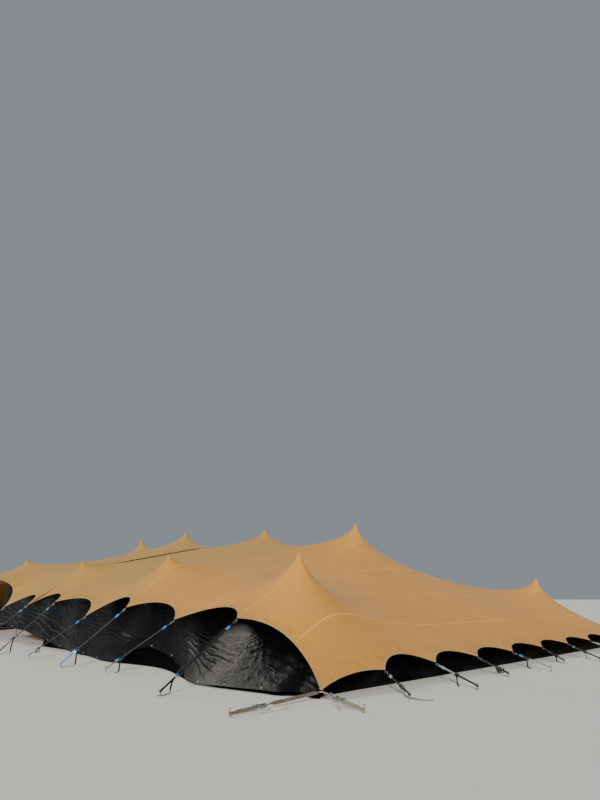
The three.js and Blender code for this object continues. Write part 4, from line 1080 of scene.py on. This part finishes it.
def toothed_wheel(zinc, centre, radius):
    """A ratchet's toothed wheel: a disc whose every second side face is drawn out to a tooth."""
    bpy.ops.mesh.primitive_cylinder_add(vertices=24, radius=radius * 0.78, depth=0.003)
    wheel = start_edit("wheel", zinc)
    select_where(wheel, lambda f: abs(f.normal.z) < 0.5 and round(math.degrees(math.atan2(
        f.normal.y, f.normal.x)) / 15 - 0.5) % 2 == 0)
    bpy.ops.mesh.extrude_faces_move(TRANSFORM_OT_shrink_fatten={"value": -radius * 0.22})
    bpy.ops.mesh.select_all(action="SELECT")
    bpy.ops.mesh.normals_make_consistent(inside=False)
    end_edit()
    wheel.data.transform(Matrix.Translation(centre) @ Matrix.Rotation(math.pi / 2, 4, "X"))
    return smooth(wheel, 30)


def ratchet_body(width, scale, metal="zinc_plated_steel"):
    """A ratchet's frame: two cheeks, axle, toothed wheels, a fixed rod and the pawl plate."""
    zinc = finish(metal)
    side = width / 2 + 0.005
    parts = [plate("cheek", zinc, (0.055 * scale, s * side, 0), (0.11 * scale, 0.0025, 0.03 * scale),
                   0.009 * scale, axis=1) for s in (1, -1)]
    parts += [toothed_wheel(zinc, (AXLE * scale, s * (side + 0.0035), 0), 0.019 * scale) for s in (1, -1)]
    for name, x, past, radius, corners in (("axle", AXLE, 0.009, 0.006, 12),
                                           ("anchor", 0.1, 0.004, 0.0045, 10)):
        parts.append(rod(name, zinc, (x * scale, -side - past, 0), (x * scale, side + past, 0), radius * scale,
                         corners, 0.001))
    parts.append(plate("pawl", zinc, (0.052 * scale, 0, 0.007 * scale), (0.03 * scale, 2 * side, 0.0025),
                       0.0008))
    return join("ratchet_body", parts)


def ratchet_lever(width, scale, length, rise, grip_colour, metal="zinc_plated_steel"):
    """A ratchet's lever: two arms, a grip bar with its sleeve and a web between the arms."""
    zinc = finish(metal)
    side = width / 2 + 0.005 + (0.0055 if scale > 1 else 0.009)
    bar = length - 0.008
    inner = side - 0.003
    parts = []
    for s in (1, -1):
        bpy.ops.mesh.primitive_cylinder_add(vertices=24, radius=0.014 * scale / LARGE, depth=0.0035)
        arm = start_edit("arm", zinc)
        select_where(arm, lambda f: abs(f.normal.z) < 0.5 and f.normal.x > 0.4)
        extrude(length, rise, 0)
        bpy.ops.transform.resize(value=(0.02, 0.62, 1), center_override=(length, rise, 0))
        bevel_where(arm, lambda e: e.calc_face_angle(0) > 1.2, 0.0006, 1)
        end_edit()
        arm.data.transform(Matrix.Translation((0, s * side, 0)) @ Matrix.Rotation(math.pi / 2, 4, "X"))
        parts.append(smooth(arm, 30))
    parts.append(rod("bar", zinc, (bar, -side - 0.004, rise), (bar, side + 0.004, rise), 0.005, 12, 0.001))
    sleeve = rod("sleeve", finish(grip_colour), (bar, -inner, rise), (bar, inner, rise), 0.0095, 16, 0.003)
    # Five grooves round the grip.
    for k in range(5):
        only(sleeve)
        bpy.ops.object.mode_set(mode="EDIT")
        bpy.ops.mesh.select_all(action="SELECT")
        at = -inner + (k + 1) * 2 * inner / 6
        bpy.ops.mesh.bisect(plane_co=(0, at, 0), plane_no=(0, 1, 0))
        bpy.ops.transform.resize(value=(0.86, 1, 0.86), center_override=(bar, at, rise))
        end_edit()
    parts.append(sleeve)
    parts.append(plate("web", zinc, (length * 0.66, 0, rise * 0.75), (length * 0.36, 2 * side, 0.0025), 0.0008))
    return join("ratchet_lever", parts)


def stake_piece(sizes):
    """A forged stake with a struck head, standing along +Z, cut off at the ground by its own placing."""
    top, below = sizes.stake_height, 0.06
    bpy.ops.mesh.primitive_cylinder_add(vertices=16, radius=sizes.stake_diameter / 2, depth=top + below,
                                        location=(0, 0, (top - below) / 2))
    bar = start_edit("bar", finish("forged_steel"))
    select_where(bar, lambda f: f.normal.z > 0.9)
    extrude(0, 0, 0.002)
    bpy.ops.transform.resize(value=(1.65, 1.65, 1), center_override=(0, 0, top + 0.002))
    extrude(0, 0, 0.01)
    bevel_where(bar, lambda e: e.calc_face_angle(0) > 1.0 and min(v.co.z for v in e.verts) > top - 0.01,
                0.003, 2)
    end_edit()
    return settle(bar)


def strap_prototypes():
    """The fittings that every strap repeats, modelled once at the origin."""
    if "strap" not in _made:
        sizes = bpy.context.scene.tent_sizes
        zinc = finish("zinc_plated_steel")
        small, large = sizes.strap_width, sizes.corner_strap_width
        _made["strap"] = {
            "hook": snap_hook(zinc),
            "d_ring": ring("d_ring", zinc, (0, 0, 0), 0.017, 0.0028, axis="X", segments=16, rounds=6),
            "link": ring("link", zinc, (0, 0, 0), 0.014, 0.004, stretch=0.022, segments=16, rounds=8),
            "corner_ring": ring("corner_ring", zinc, (0, 0, 0), RING_RADIUS, 0.0075, segments=32, rounds=12),
            "shackle": ring("shackle", zinc, (0.025, 0, 0), 0.018, 0.005, stretch=0.022, segments=20),
            "body": ratchet_body(small, 1.0, "black_steel"),
            "blue_lever": ratchet_lever(small, 1.0, 0.13, 0.014, "blue_nylon", "blue_zinc"),
            "black_lever": ratchet_lever(small, 1.0, 0.13, 0.014, "moulded_rubber", "black_steel"),
            "large_body": ratchet_body(large, LARGE),
            "stake": stake_piece(sizes),
        }
    return _made["strap"]


def lying_tail(start, away, across, hang, lie, width, thickness, material, seed, on_edge=0.0):
    """The loose end of a strap: it hangs from the ratchet, turns over on the ground and lies there.

    "on_edge" is how far the lying part stands on its edge."""
    bend = np.random.default_rng(seed).uniform(-1, 1)
    start, away, across, up = Vector(start), Vector(away).normalized(), Vector(across), UP
    points, sides = [start], [away]
    low = 0.007 + on_edge * width * 0.48
    for s in np.linspace(0, 1, 11)[1:]:
        points.append(start + away * hang * (0.9 * s - 0.5 * s * s) - up * (start.z - low) * s ** 1.5)
        sides.append(away.lerp(across, float(ease(s, 0.75, 1.15))))
    here = points[-1]
    resting = across.lerp(up, on_edge)
    for s in np.linspace(0, 1, 13)[1:]:
        turn = bend * 1.4 * s
        here = here + (away * math.cos(turn) + across * math.sin(turn)).normalized() * lie / 12
        points.append(Vector((here.x, here.y, low + 0.014 * abs(math.sin(s * 5.0 + seed)) * (1 - s))))
        sides.append(sides[10].lerp(resting, min(s * 3, 1)))
    path = np.array([tuple(p) for p in points])
    for _ in range(2):
        path[1:-1] = (path[:-2] + 2 * path[1:-1] + path[2:]) / 4
    return band("tail", path, width, thickness, [tuple(p) for p in sides], material)


def gathered_tail(start, away, across, drop, width, thickness, material, seed):
    """A loose end gathered in loops that hang from the ratchet."""
    turns = np.linspace(0, 2 * math.pi * 3.6, 72)
    reach = drop * (0.82 + 0.18 * np.sin(turns * 0.37 + seed))
    local = np.stack([0.05 * np.sin(turns * 0.45 + seed), 0.03 * np.sin(turns) + 0.004 * turns,
                      -reach * (1 - np.cos(turns)) / 2], -1)
    path = [tuple(Vector(start) + away * x + across * y + UP * z) for x, y, z in local.tolist()]
    return band("tail", path, width, thickness, tuple(away), material)


# Each side strap: the colours of its webbing, short part, loose end and keeper loop, then how far the loose end
# swings out, how much of it lies on the ground (None: it is gathered in loops), how far along the strap its
# ratchet sits, and the lever's colour.
LEFT_STRAPS = [("black", "black", "black", "blue", 0.42, 0.22, 0.74, "blue"),
               ("grey", "slate", "black", "blue", 0.1, 0.14, 0.75, "blue"),
               ("grey", "blue", "black", "blue", 0.05, 0.3, 0.73, "blue"),
               ("grey", "blue", "silver", "blue", 0.1, None, 0.82, "blue"),
               ("grey", "black", "black", "blue", 0.12, 0.3, 0.72, "blue"),
               ("grey", "grey", "grey", "blue", 0.1, 0.2, 0.7, "blue"),
               ("grey", "black", "black", "blue", 0.12, 0.28, 0.72, "blue"),
               ("grey", "black", "black", "blue", 0.1, 0.2, 0.7, "blue"),
               ("grey", "black", "black", "blue", 0.1, None, 0.72, "blue"),
               ("grey", "grey", "grey", "blue", 0.1, 0.2, 0.72, "blue"),
               ("grey", "black", "black", "blue", 0.1, 0.24, 0.7, "blue")]
RIGHT_STRAPS = [("black", "black", "slate", "silver", 0.3, 0.5, 0.62, "black"),
                ("silver", "black", "black", "silver", 0.06, 0.14, 0.46, "black"),
                ("grey", "black", "black", "black", 0.1, None, 0.6, "black"),
                ("grey", "silver", "black", "blue", 0.08, 0.2, 0.3, "black"),
                ("black", "grey", "black", "grey", 0.1, 0.12, 0.5, "black"),
                ("grey", "black", "slate", "blue", 0.1, 0.12, 0.5, "black"),
                ("silver", "silver", "black", "silver", 0.12, 0.2, 0.45, "blue"),
                ("grey", "grey", "grey", "blue", 0.1, 0.2, 0.5, "blue"),
                ("black", "black", "black", "grey", 0.1, 0.2, 0.5, "black")]


def spread(matrix, pairs):
    """(along, up) pairs of a strap's own frame, as points of the part's frame."""
    return [tuple(matrix @ Vector((x, 0, z))) for x, z in pairs]


def turned(matrix, degrees):
    """The direction across a strap, turned about its line by each of these angles."""
    return [tuple(matrix.to_3x3() @ Vector((0, math.cos(a), math.sin(a)))) for a in np.radians(degrees)]


def roll_of_webbing(frame, at, radius, width, thickness, material):
    """Webbing wound on a ratchet's axle, in a spiral."""
    turns = np.linspace(0, 2 * math.pi * 2.6, 48)
    reach = np.linspace(0.0065, radius, 48)
    local = np.stack([at + reach * np.cos(turns), np.zeros(48), reach * np.sin(turns)], -1)
    path = [tuple(frame @ Vector(p)) for p in local]
    return band("roll", path, width, thickness, tuple(frame.to_3x3() @ Vector((0, 1, 0))), material)


def stake_loop(frame, length, away, width, thickness, material, reach):
    """The sewn loop that holds the stake: it turns on edge and goes round it."""
    axis = stake_axis(away)
    radius = bpy.context.scene.tent_sizes.stake_diameter / 2 + thickness / 2 + 0.001
    turn = frame.to_3x3()
    x, y, z = (turn @ Vector(v) for v in ((1, 0, 0), (0, 1, 0), (0, 0, 1)))
    centre = frame @ Vector((length, 0, 0))
    out = (x - axis * x.dot(axis)).normalized()
    near = frame @ Vector((length - reach, 0, 0))
    points, sides = [], []
    for s in np.linspace(0, 1, 6)[:-1]:
        points.append(near.lerp(centre + y * radius, s) + y * 0.003 * (1 - s))
        sides.append(z.lerp(axis, s))
    for angle in np.linspace(0, math.pi, 9):
        points.append(centre + y * radius * math.cos(angle) + out * radius * math.sin(angle))
        sides.append(axis)
    for s in np.linspace(1, 0, 6)[1:]:
        points.append(near.lerp(centre - y * radius, s) - y * 0.003 * (1 - s))
        sides.append(z.lerp(axis, s))
    return band("loop", [tuple(p) for p in points], width, thickness, [tuple(s) for s in sides], material)


def build_strap(name, start, foot, roll, style, node, seed):
    """A side strap: D-ring, carabiner, webbing with its keeper loop, ratchet, stake loop, stake and loose end.

    Its carabiner, webbing and ratchet hang turned about the strap's own line by "roll" degrees."""
    sizes = bpy.context.scene.tent_sizes
    parts = strap_prototypes()
    width, thick = sizes.strap_width, sizes.webbing_thickness
    frame, length, away = strap_frame(start, foot, GRIP_HEIGHT)
    rolled = frame @ Matrix.Rotation(math.radians(roll), 4, "X")
    main, short_part, tail, keeper = (finish(f"{colour}_webbing") for colour in style[:4])
    hang, lie, ratchet_at, lever = style[4:]
    level = frame.to_3x3() @ Vector((0, 1, 0))
    across = tuple(rolled.to_3x3() @ Vector((0, 1, 0)))
    inside = width * WEBBING_SHARE
    at = length * ratchet_at
    # The keeper loop: a flat ring of wider webbing that the strap runs through.
    oval = [(0.22 + 0.046 * math.cos(a), 0.011 * math.sin(a)) for a in np.linspace(0, 2 * math.pi, 25)[:-1]]
    webbing = [band("keeper", spread(rolled, oval), width * 1.35, 0.0028, across, keeper, closed=True)]
    run = [(x, 0.0) for x in np.linspace(0.074, at - 0.03, 12)] + [(at + 0.005, 0.004), (at + AXLE, 0.0105)]
    webbing.append(band("long", spread(rolled, run), inside, thick, across, main))
    webbing.append(roll_of_webbing(rolled, at + AXLE, 0.0115, inside, 0.002, main))
    # The short part leaves the ratchet's fixed rod flat and turns on edge at the stake.
    reach = 0.07
    short = [(x, 0.0) for x in np.linspace(at + 0.103, length - reach, 24)]
    twist = turned(frame, [roll] * 8 + list(np.linspace(roll, math.copysign(90, roll), 16)))
    webbing.append(band("short", spread(rolled, short), inside, thick, twist, short_part))
    webbing.append(stake_loop(frame, length, away, inside, thick, short_part, reach))
    start = rolled @ Vector((at + 0.03, 0, -0.012))
    if lie is None:
        webbing.append(gathered_tail(start, away, level, min(hang, start.z - 0.03), width, thick, tail, seed))
    else:
        webbing.append(lying_tail(start, away, level, hang, lie, width, thick, tail, seed))
    strap = join(name, webbing)
    fittings = join(name.replace("strap", "fittings"), [
        copy_to("part", parts["d_ring"], frame @ Matrix.Translation((-0.006, 0, 0.0))),
        copy_to("part", parts["hook"], rolled),
        copy_to("part", parts["body"], rolled @ Matrix.Translation((at, 0, 0))),
        copy_to("part", parts[f"{lever}_lever"], rolled @ Matrix.Translation((at + AXLE, 0, 0))),
        place_stake(parts["stake"], foot, away)])
    hand_over(strap, "strap_webbing", node)
    hand_over(fittings, "plated_steel", node)


def place_stake(prototype, foot, away):
    """A copy of the stake that leans away from its strap, cut off at the ground and closed there."""
    lean = UP.rotation_difference(stake_axis(away)).to_matrix().to_4x4()
    made = copy_to("part", prototype, Matrix.Translation(foot) @ lean)
    only(made)
    bpy.ops.object.mode_set(mode="EDIT")
    bpy.ops.mesh.select_all(action="SELECT")
    bpy.ops.mesh.bisect(plane_co=(0, 0, 0.0), plane_no=(0, 0, 1), clear_inner=True, use_fill=True)
    bpy.ops.object.mode_set(mode="OBJECT")
    return made


def tie_point(side, k):
    """The corner of the hem that a strap starts from, and the foot of its stake."""
    long = side in ("left", "back")
    out = -Vector(INWARD[side])
    tie = Vector(net().at(*side_line(side, (LONG_STEP if long else SHORT_STEP) * (k + 1), 0.0)))
    stakes = {"left": LEFT_STAKES, "right": RIGHT_STAKES, "back": [BACK_STAKE] * LONG_TIES,
              "end": [END_STAKE] * SHORT_TIES}
    reach, along = stakes[side][k]
    if long:
        foot = Vector((tie.x + out.x * reach, tie.y + along, 0))
    else:
        foot = Vector((tie.x + along, tie.y + out.y * reach, 0))
    return tie + out * 0.02 - UP * 0.03, foot


def build_corner(name, corner, feet, nodes, ratchets, styles):
    """The ring under a corner and its two heavy straps, without their levers.

    Returns each strap's frame and how far along it the ratchet sits."""
    sizes = bpy.context.scene.tent_sizes
    parts = strap_prototypes()
    width, thick = sizes.corner_strap_width, sizes.webbing_thickness * LARGE
    out = Vector((math.copysign(1, corner.x), math.copysign(1, corner.y), 0)).normalized()
    centre = corner + out * RING_RADIUS
    # It hangs under the solid canopy of the CAD: its thickness, the ring's crest and a gap.
    centre.z = corner.z - 0.012 - 0.008 * math.sin(math.pi / 3) - 0.0003
    inside = width * WEBBING_SHARE
    made = []
    for k, foot in enumerate(feet):
        foot = Vector((corner.x + foot[0], corner.y + foot[1], 0))
        start = ring_start(centre, foot, k if name == "near_corner" else 2)
        frame, length, away = strap_frame(start, foot, CORNER_GRIP_HEIGHT)
        at = length * ratchets[k]
        axle = at + AXLE * LARGE
        roll = -72 if k == 0 else 65
        main = finish("sage_webbing" if styles[k] == "chain" else "olive_webbing")
        webbing, hard = [], []
        if styles[k] == "chain":
            for n in range(int((at + 0.01) / LINK_STEP)):
                spin = Matrix.Rotation(math.pi / 2 * (n % 2), 4, "X")
                hard.append(copy_to("part", parts["link"],
                                    frame @ Matrix.Translation((0.012 + LINK_STEP * n, 0, 0)) @ spin))
        else:
            # The webbing is flat at the ring and at the ratchet, and turned on its edge between them.
            run = [(x, 0.0) for x in np.linspace(-0.03, at - 0.03, 72)] + [(at + 0.006, 0.006), (axle, 0.0145)]
            angles = [roll * float(ease(x, 0.0, 0.12) - ease(x, at - 0.16, at - 0.035)) for x, _ in run]
            webbing.append(band("long", spread(frame, run), inside, thick, turned(frame, angles), main))
        webbing.append(roll_of_webbing(frame, axle, 0.015, inside, 0.0028, main))
        reach = 0.09
        short = [(x, 0.0) for x in np.linspace(at + 0.135, length - reach, 44)]
        end = math.copysign(90, roll)
        angles = [roll * float(ease(x, at + 0.14, at + 0.24)) + (end - roll) * float(
            ease(x, length - reach - 0.1, length - reach)) for x, _ in short]
        webbing.append(band("short", spread(frame, short), inside, thick, turned(frame, angles), main))
        webbing.append(stake_loop(frame, length, away, width * 0.6, thick, main, reach))
        # The loose end: how it heads off from the strap, away and across, and how much of it lies down.
        off, aside, lie = (-0.73, 0.67, 0.3) if k == 0 else (0.84, -0.52, 0.36)
        heading = (away * off + Vector(turned(frame, [0])[0]) * aside).normalized()
        webbing.append(lying_tail(frame @ Vector((at + 0.03, 0, -0.016)), heading, UP.cross(heading), 0.08, lie,
                                  width * 0.9, thick, finish("pale_webbing"), 5 + k, on_edge=0.7))
        hard.append(copy_to("part", parts["large_body"], frame @ Matrix.Translation((at, 0, 0))))
        hard.append(place_stake(parts["stake"], foot, away))
        if k == 0:
            hard.append(copy_to("part", parts["corner_ring"], Matrix.Translation(centre)))
        hand_over(join(f"{name}_strap_{k + 1}", webbing), "corner_webbing", nodes[k])
        hand_over(join(f"{name}_fittings_{k + 1}", hard), "plated_steel", nodes[k])
        made.append((frame, at))
    return made


def ring_start(centre, foot, kind):
    """Where a corner strap starts: at the ring's side, beside its rim, or in the foot's direction."""
    if kind == 0:
        return centre + Vector((-RING_RADIUS, 0, 0))
    towards = Vector((foot.x - centre.x, foot.y - centre.y, 0)).normalized()
    return centre + towards * (0.0415 if kind == 1 else RING_RADIUS)


def build_lever(name, frame, at, length, rise, grip, node, body):
    """A corner ratchet's lever, on the axle of the ratchet that sits "at" along its strap."""
    lever = ratchet_lever(bpy.context.scene.tent_sizes.corner_strap_width, LARGE, length, rise, grip)
    lever.data.transform(frame @ Matrix.Translation((at + AXLE * LARGE, 0, 0)))
    lever.name = name
    hand_over(lever, "plated_steel", node, body=body)


# ---- operators: one for each piece or group of like pieces, and one for the stage ----

# The photo's camera, solved from the straight rows of tie points: its place, level direction, upward tilt in
# degrees, focal length and sensor width in millimetres.
EYE = (-13.96, -18.19, 1.433)
LOOK = (0.698, 0.716)
TILT = 19.42
LENS, SENSOR = 24.93, 36
# Lights: name, strength, angle of the disc in degrees, the way to it, colour. A soft key light from the front,
# and a fainter one from behind for the glossy walls.
LIGHTS = [("key", 4.6, 9, (-0.75, -0.62, 0.3), "#FFF6EA"), ("rim", 1.1, 16, (-0.09, 0.75, 0.65), "#FFF8EC")]
SKY, SKY_STRENGTH = "#DDE5EE", 0.35


class TENT_OT_stage(Operator):
    """Camera, floor and light"""
    bl_idname = "tent.stage"
    bl_label = "Stage"

    def execute(self, context):
        scene = context.scene
        camera = bpy.data.cameras.new("camera")
        camera.lens = LENS
        camera.sensor_width = SENSOR
        camera.clip_end = 300
        eye = bpy.data.objects.new("camera", camera)
        scene.collection.objects.link(eye)
        pitch = math.radians(TILT)
        look = Vector((*LOOK, 0)).normalized() * math.cos(pitch) + UP * math.sin(pitch)
        eye.location = EYE
        eye.rotation_euler = look.to_track_quat("-Z", "Y").to_euler()
        scene.camera = eye

        bpy.ops.object.select_all(action="DESELECT")
        bpy.ops.mesh.primitive_plane_add(size=400, location=(0, 0, 0))
        floor = bpy.context.active_object
        floor.name = "floor"
        floor.data.materials.append(finish("painted_floor"))

        for name, energy, angle, towards, colour in LIGHTS:
            light = bpy.data.lights.new(name, "SUN")
            light.energy = energy
            light.angle = math.radians(angle)
            light.color = linear(colour)[:3]
            lamp = bpy.data.objects.new(name, light)
            scene.collection.objects.link(lamp)
            lamp.rotation_euler = (-Vector(towards)).to_track_quat("-Z", "Y").to_euler()

        world = bpy.data.worlds.new("studio")
        scene.world = world
        world.use_nodes = True
        background = world.node_tree.nodes["Background"]
        background.inputs["Color"].default_value = linear(SKY)
        background.inputs["Strength"].default_value = SKY_STRENGTH
        return {"FINISHED"}


class TENT_OT_canopies(Operator):
    """The two joined canopies of stretch fabric"""
    bl_idname = "tent.canopies"
    bl_label = "Canopies"

    def execute(self, context):
        for name, low, high, node in (("near_canopy", 0.0, JOINT, "canopy_near"),
                                      ("far_canopy", JOINT - OVERLAP, LENGTH, "canopy_far")):
            made = build_canopy(name, low, high)
            hand_over(made, "canopy_fabric", node)
        return {"FINISHED"}


class TENT_OT_hems(Operator):
    """Hem webbing along the four free sides"""
    bl_idname = "tent.hems"
    bl_label = "Hems"

    def execute(self, context):
        for side in ("left", "right", "back", "end"):
            made = smooth(build_hem(f"{side}_hem", side), 40)
            hand_over(made, "hem_webbing", f"hem_{side}")
        return {"FINISHED"}


class TENT_OT_poles(Operator):
    """Poles with base plate, two tubes, collar, pin and dome cap"""
    bl_idname = "tent.poles"
    bl_label = "Poles"

    def execute(self, context):
        for row, poles in (("near", NEAR_ROW), ("centre", CENTRE_ROW), ("back", BACK_ROW)):
            for k, (u, v, tip, _) in enumerate(poles):
                build_pole(f"{row}_pole_{k + 1}", f"pole_{row}_{k + 1}", u, v, tip)
        remove(*pole_prototypes())
        return {"FINISHED"}


class TENT_OT_walls(Operator):
    """Black wall panels hung inside the hems"""
    bl_idname = "tent.walls"
    bl_label = "Walls"

    def execute(self, context):
        lifted = lambda v: through(LEFT_HEM, v)
        level = lambda v: np.full(len(v), 0.01)
        for k, (low, high) in enumerate(LEFT_PANELS):
            node = f"wall_left_{k + 1}"
            grid = wall_grid("left", low, high, lifted if k < 3 else level, LEFT_FOLDS, 11 + 3 * k)
            build_wall(f"left_wall_{k + 1}", "left", grid, node, LEFT_SEAMS)
            build_eyelets(f"left_eyelets_{k + 1}", grid, [v for v in EYELETS if low < v < high], node)
        # Black liners behind the first two panels' lifted hems: painted shade for the dark inside of the tent.
        for k, (low, high) in enumerate(LEFT_PANELS[:2]):
            grid = wall_grid("left", low, high, level, [], 41 + 3 * k, WALL_DROP + SHADE_LINER_DROP, SHADE_LINER_INSET, 2.5)
            build_wall(f"left_liner_{k + 1}", "left", grid, f"wall_left_{k + 1}", cloth_finish="matt_liner")
        near = WALL_LINE + 0.06
        for name, side, low, high, node in (
                ("back_wall_1", "back", WALL_LINE, JOINT, "wall_back_1"),
                ("back_wall_2", "back", JOINT, LENGTH - WALL_LINE, "wall_back_2"),
                ("right_wall", "right", near, WIDTH - near, "wall_right"),
                ("end_wall", "end", near, WIDTH - near, "wall_end")):
            grid = wall_grid(side, low, high, level, SIDE_FOLDS, 60 + len(name), coarse=1.3)
            build_wall(name, side, grid, node)
        return {"FINISHED"}


class TENT_OT_straps(Operator):
    """Side straps, each with carabiner, ratchet and stake"""
    bl_idname = "tent.straps"
    bl_label = "Side straps"

    def execute(self, context):
        for side, styles, rolls, seed in (("left", LEFT_STRAPS, (-62, -50, -70), 70),
                                          ("back", LEFT_STRAPS[::-1], (25, -30, 40), 90),
                                          ("right", RIGHT_STRAPS, (50, 68, 58), 110),
                                          ("end", RIGHT_STRAPS[::-1], (-25, 30, -40), 130)):
            for k, style in enumerate(styles):
                node = f"strap_{side}_{k + 1}" if side in ("left", "right") else f"hem_{side}"
                build_strap(f"{side}_strap_{k + 1}", *tie_point(side, k), rolls[k % 3], style, node, seed + k)
        return {"FINISHED"}


class TENT_OT_corner_straps(Operator):
    """Corner rings and heavy straps, with the two ratchet levers that turn"""
    bl_idname = "tent.corner_straps"
    bl_label = "Corner straps"

    def execute(self, context):
        placed = build_corner("near_corner", Vector(net().at(0.0, 0.0)), [(-1.61, 0.03), (-0.23, -0.97)],
                              ["corner_strap_left", "corner_strap_right"], (0.62, 0.3), ("webbing", "chain"))
        for (frame, at), side in zip(placed, ("left", "right")):
            build_lever(f"{side}_lever", frame, at, 0.19, 0.024, "zinc_plated_steel", f"ratchet_handle_{side}",
                        f"handle_{side}")
        for name, u, v, feet, node in (
                ("right_corner", WIDTH, 0.0, [(1.61, -0.03), (0.23, -0.97)], "corner_straps_right"),
                ("left_far_corner", 0.0, LENGTH, [(-1.61, 0.03), (-0.23, 0.97)], "corner_straps_left_far"),
                ("back_far_corner", WIDTH, LENGTH, [(1.61, 0.03), (0.23, 0.97)], "corner_straps_back_far")):
            placed = build_corner(name, Vector(net().at(u, v)), feet, [node, node], (0.5, 0.5),
                                  ("webbing", "webbing"))
            for k, (frame, at) in enumerate(placed):
                build_lever(f"{name}_lever_{k + 1}", frame, at, 0.15, 0.018, "moulded_rubber", node, "tent")
        remove(*strap_prototypes().values())
        return {"FINISHED"}


OPERATORS = (TENT_OT_stage, TENT_OT_canopies, TENT_OT_hems, TENT_OT_poles, TENT_OT_walls, TENT_OT_straps,
             TENT_OT_corner_straps)


class TENT_PT_pieces(Panel):
    """Lists the tent's pieces"""
    bl_idname = "TENT_PT_pieces"
    bl_label = "Stretch tent"
    bl_space_type = "VIEW_3D"
    bl_region_type = "UI"
    bl_category = "Tent"

    def draw(self, context):
        for group in (context.scene.tent_sizes, context.scene.tent_colours):
            for key in group.__annotations__:
                self.layout.prop(group, key)
        for operator in OPERATORS:
            self.layout.operator(operator.bl_idname)


CLASSES = (TentSizes, TentColours) + OPERATORS + (TENT_PT_pieces,)


def register():
    for each in CLASSES:
        bpy.utils.register_class(each)
    bpy.types.Scene.tent_sizes = PointerProperty(type=TentSizes)
    bpy.types.Scene.tent_colours = PointerProperty(type=TentColours)


def unregister():
    del bpy.types.Scene.tent_colours
    del bpy.types.Scene.tent_sizes
    for each in reversed(CLASSES):
        bpy.utils.unregister_class(each)


def main():
    register()
    bpy.ops.tent.stage()
    bpy.ops.tent.canopies()
    bpy.ops.tent.hems()
    bpy.ops.tent.poles()
    bpy.ops.tent.walls()
    bpy.ops.tent.straps()
    bpy.ops.tent.corner_straps()
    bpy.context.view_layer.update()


if __name__ == "__main__":
    main()
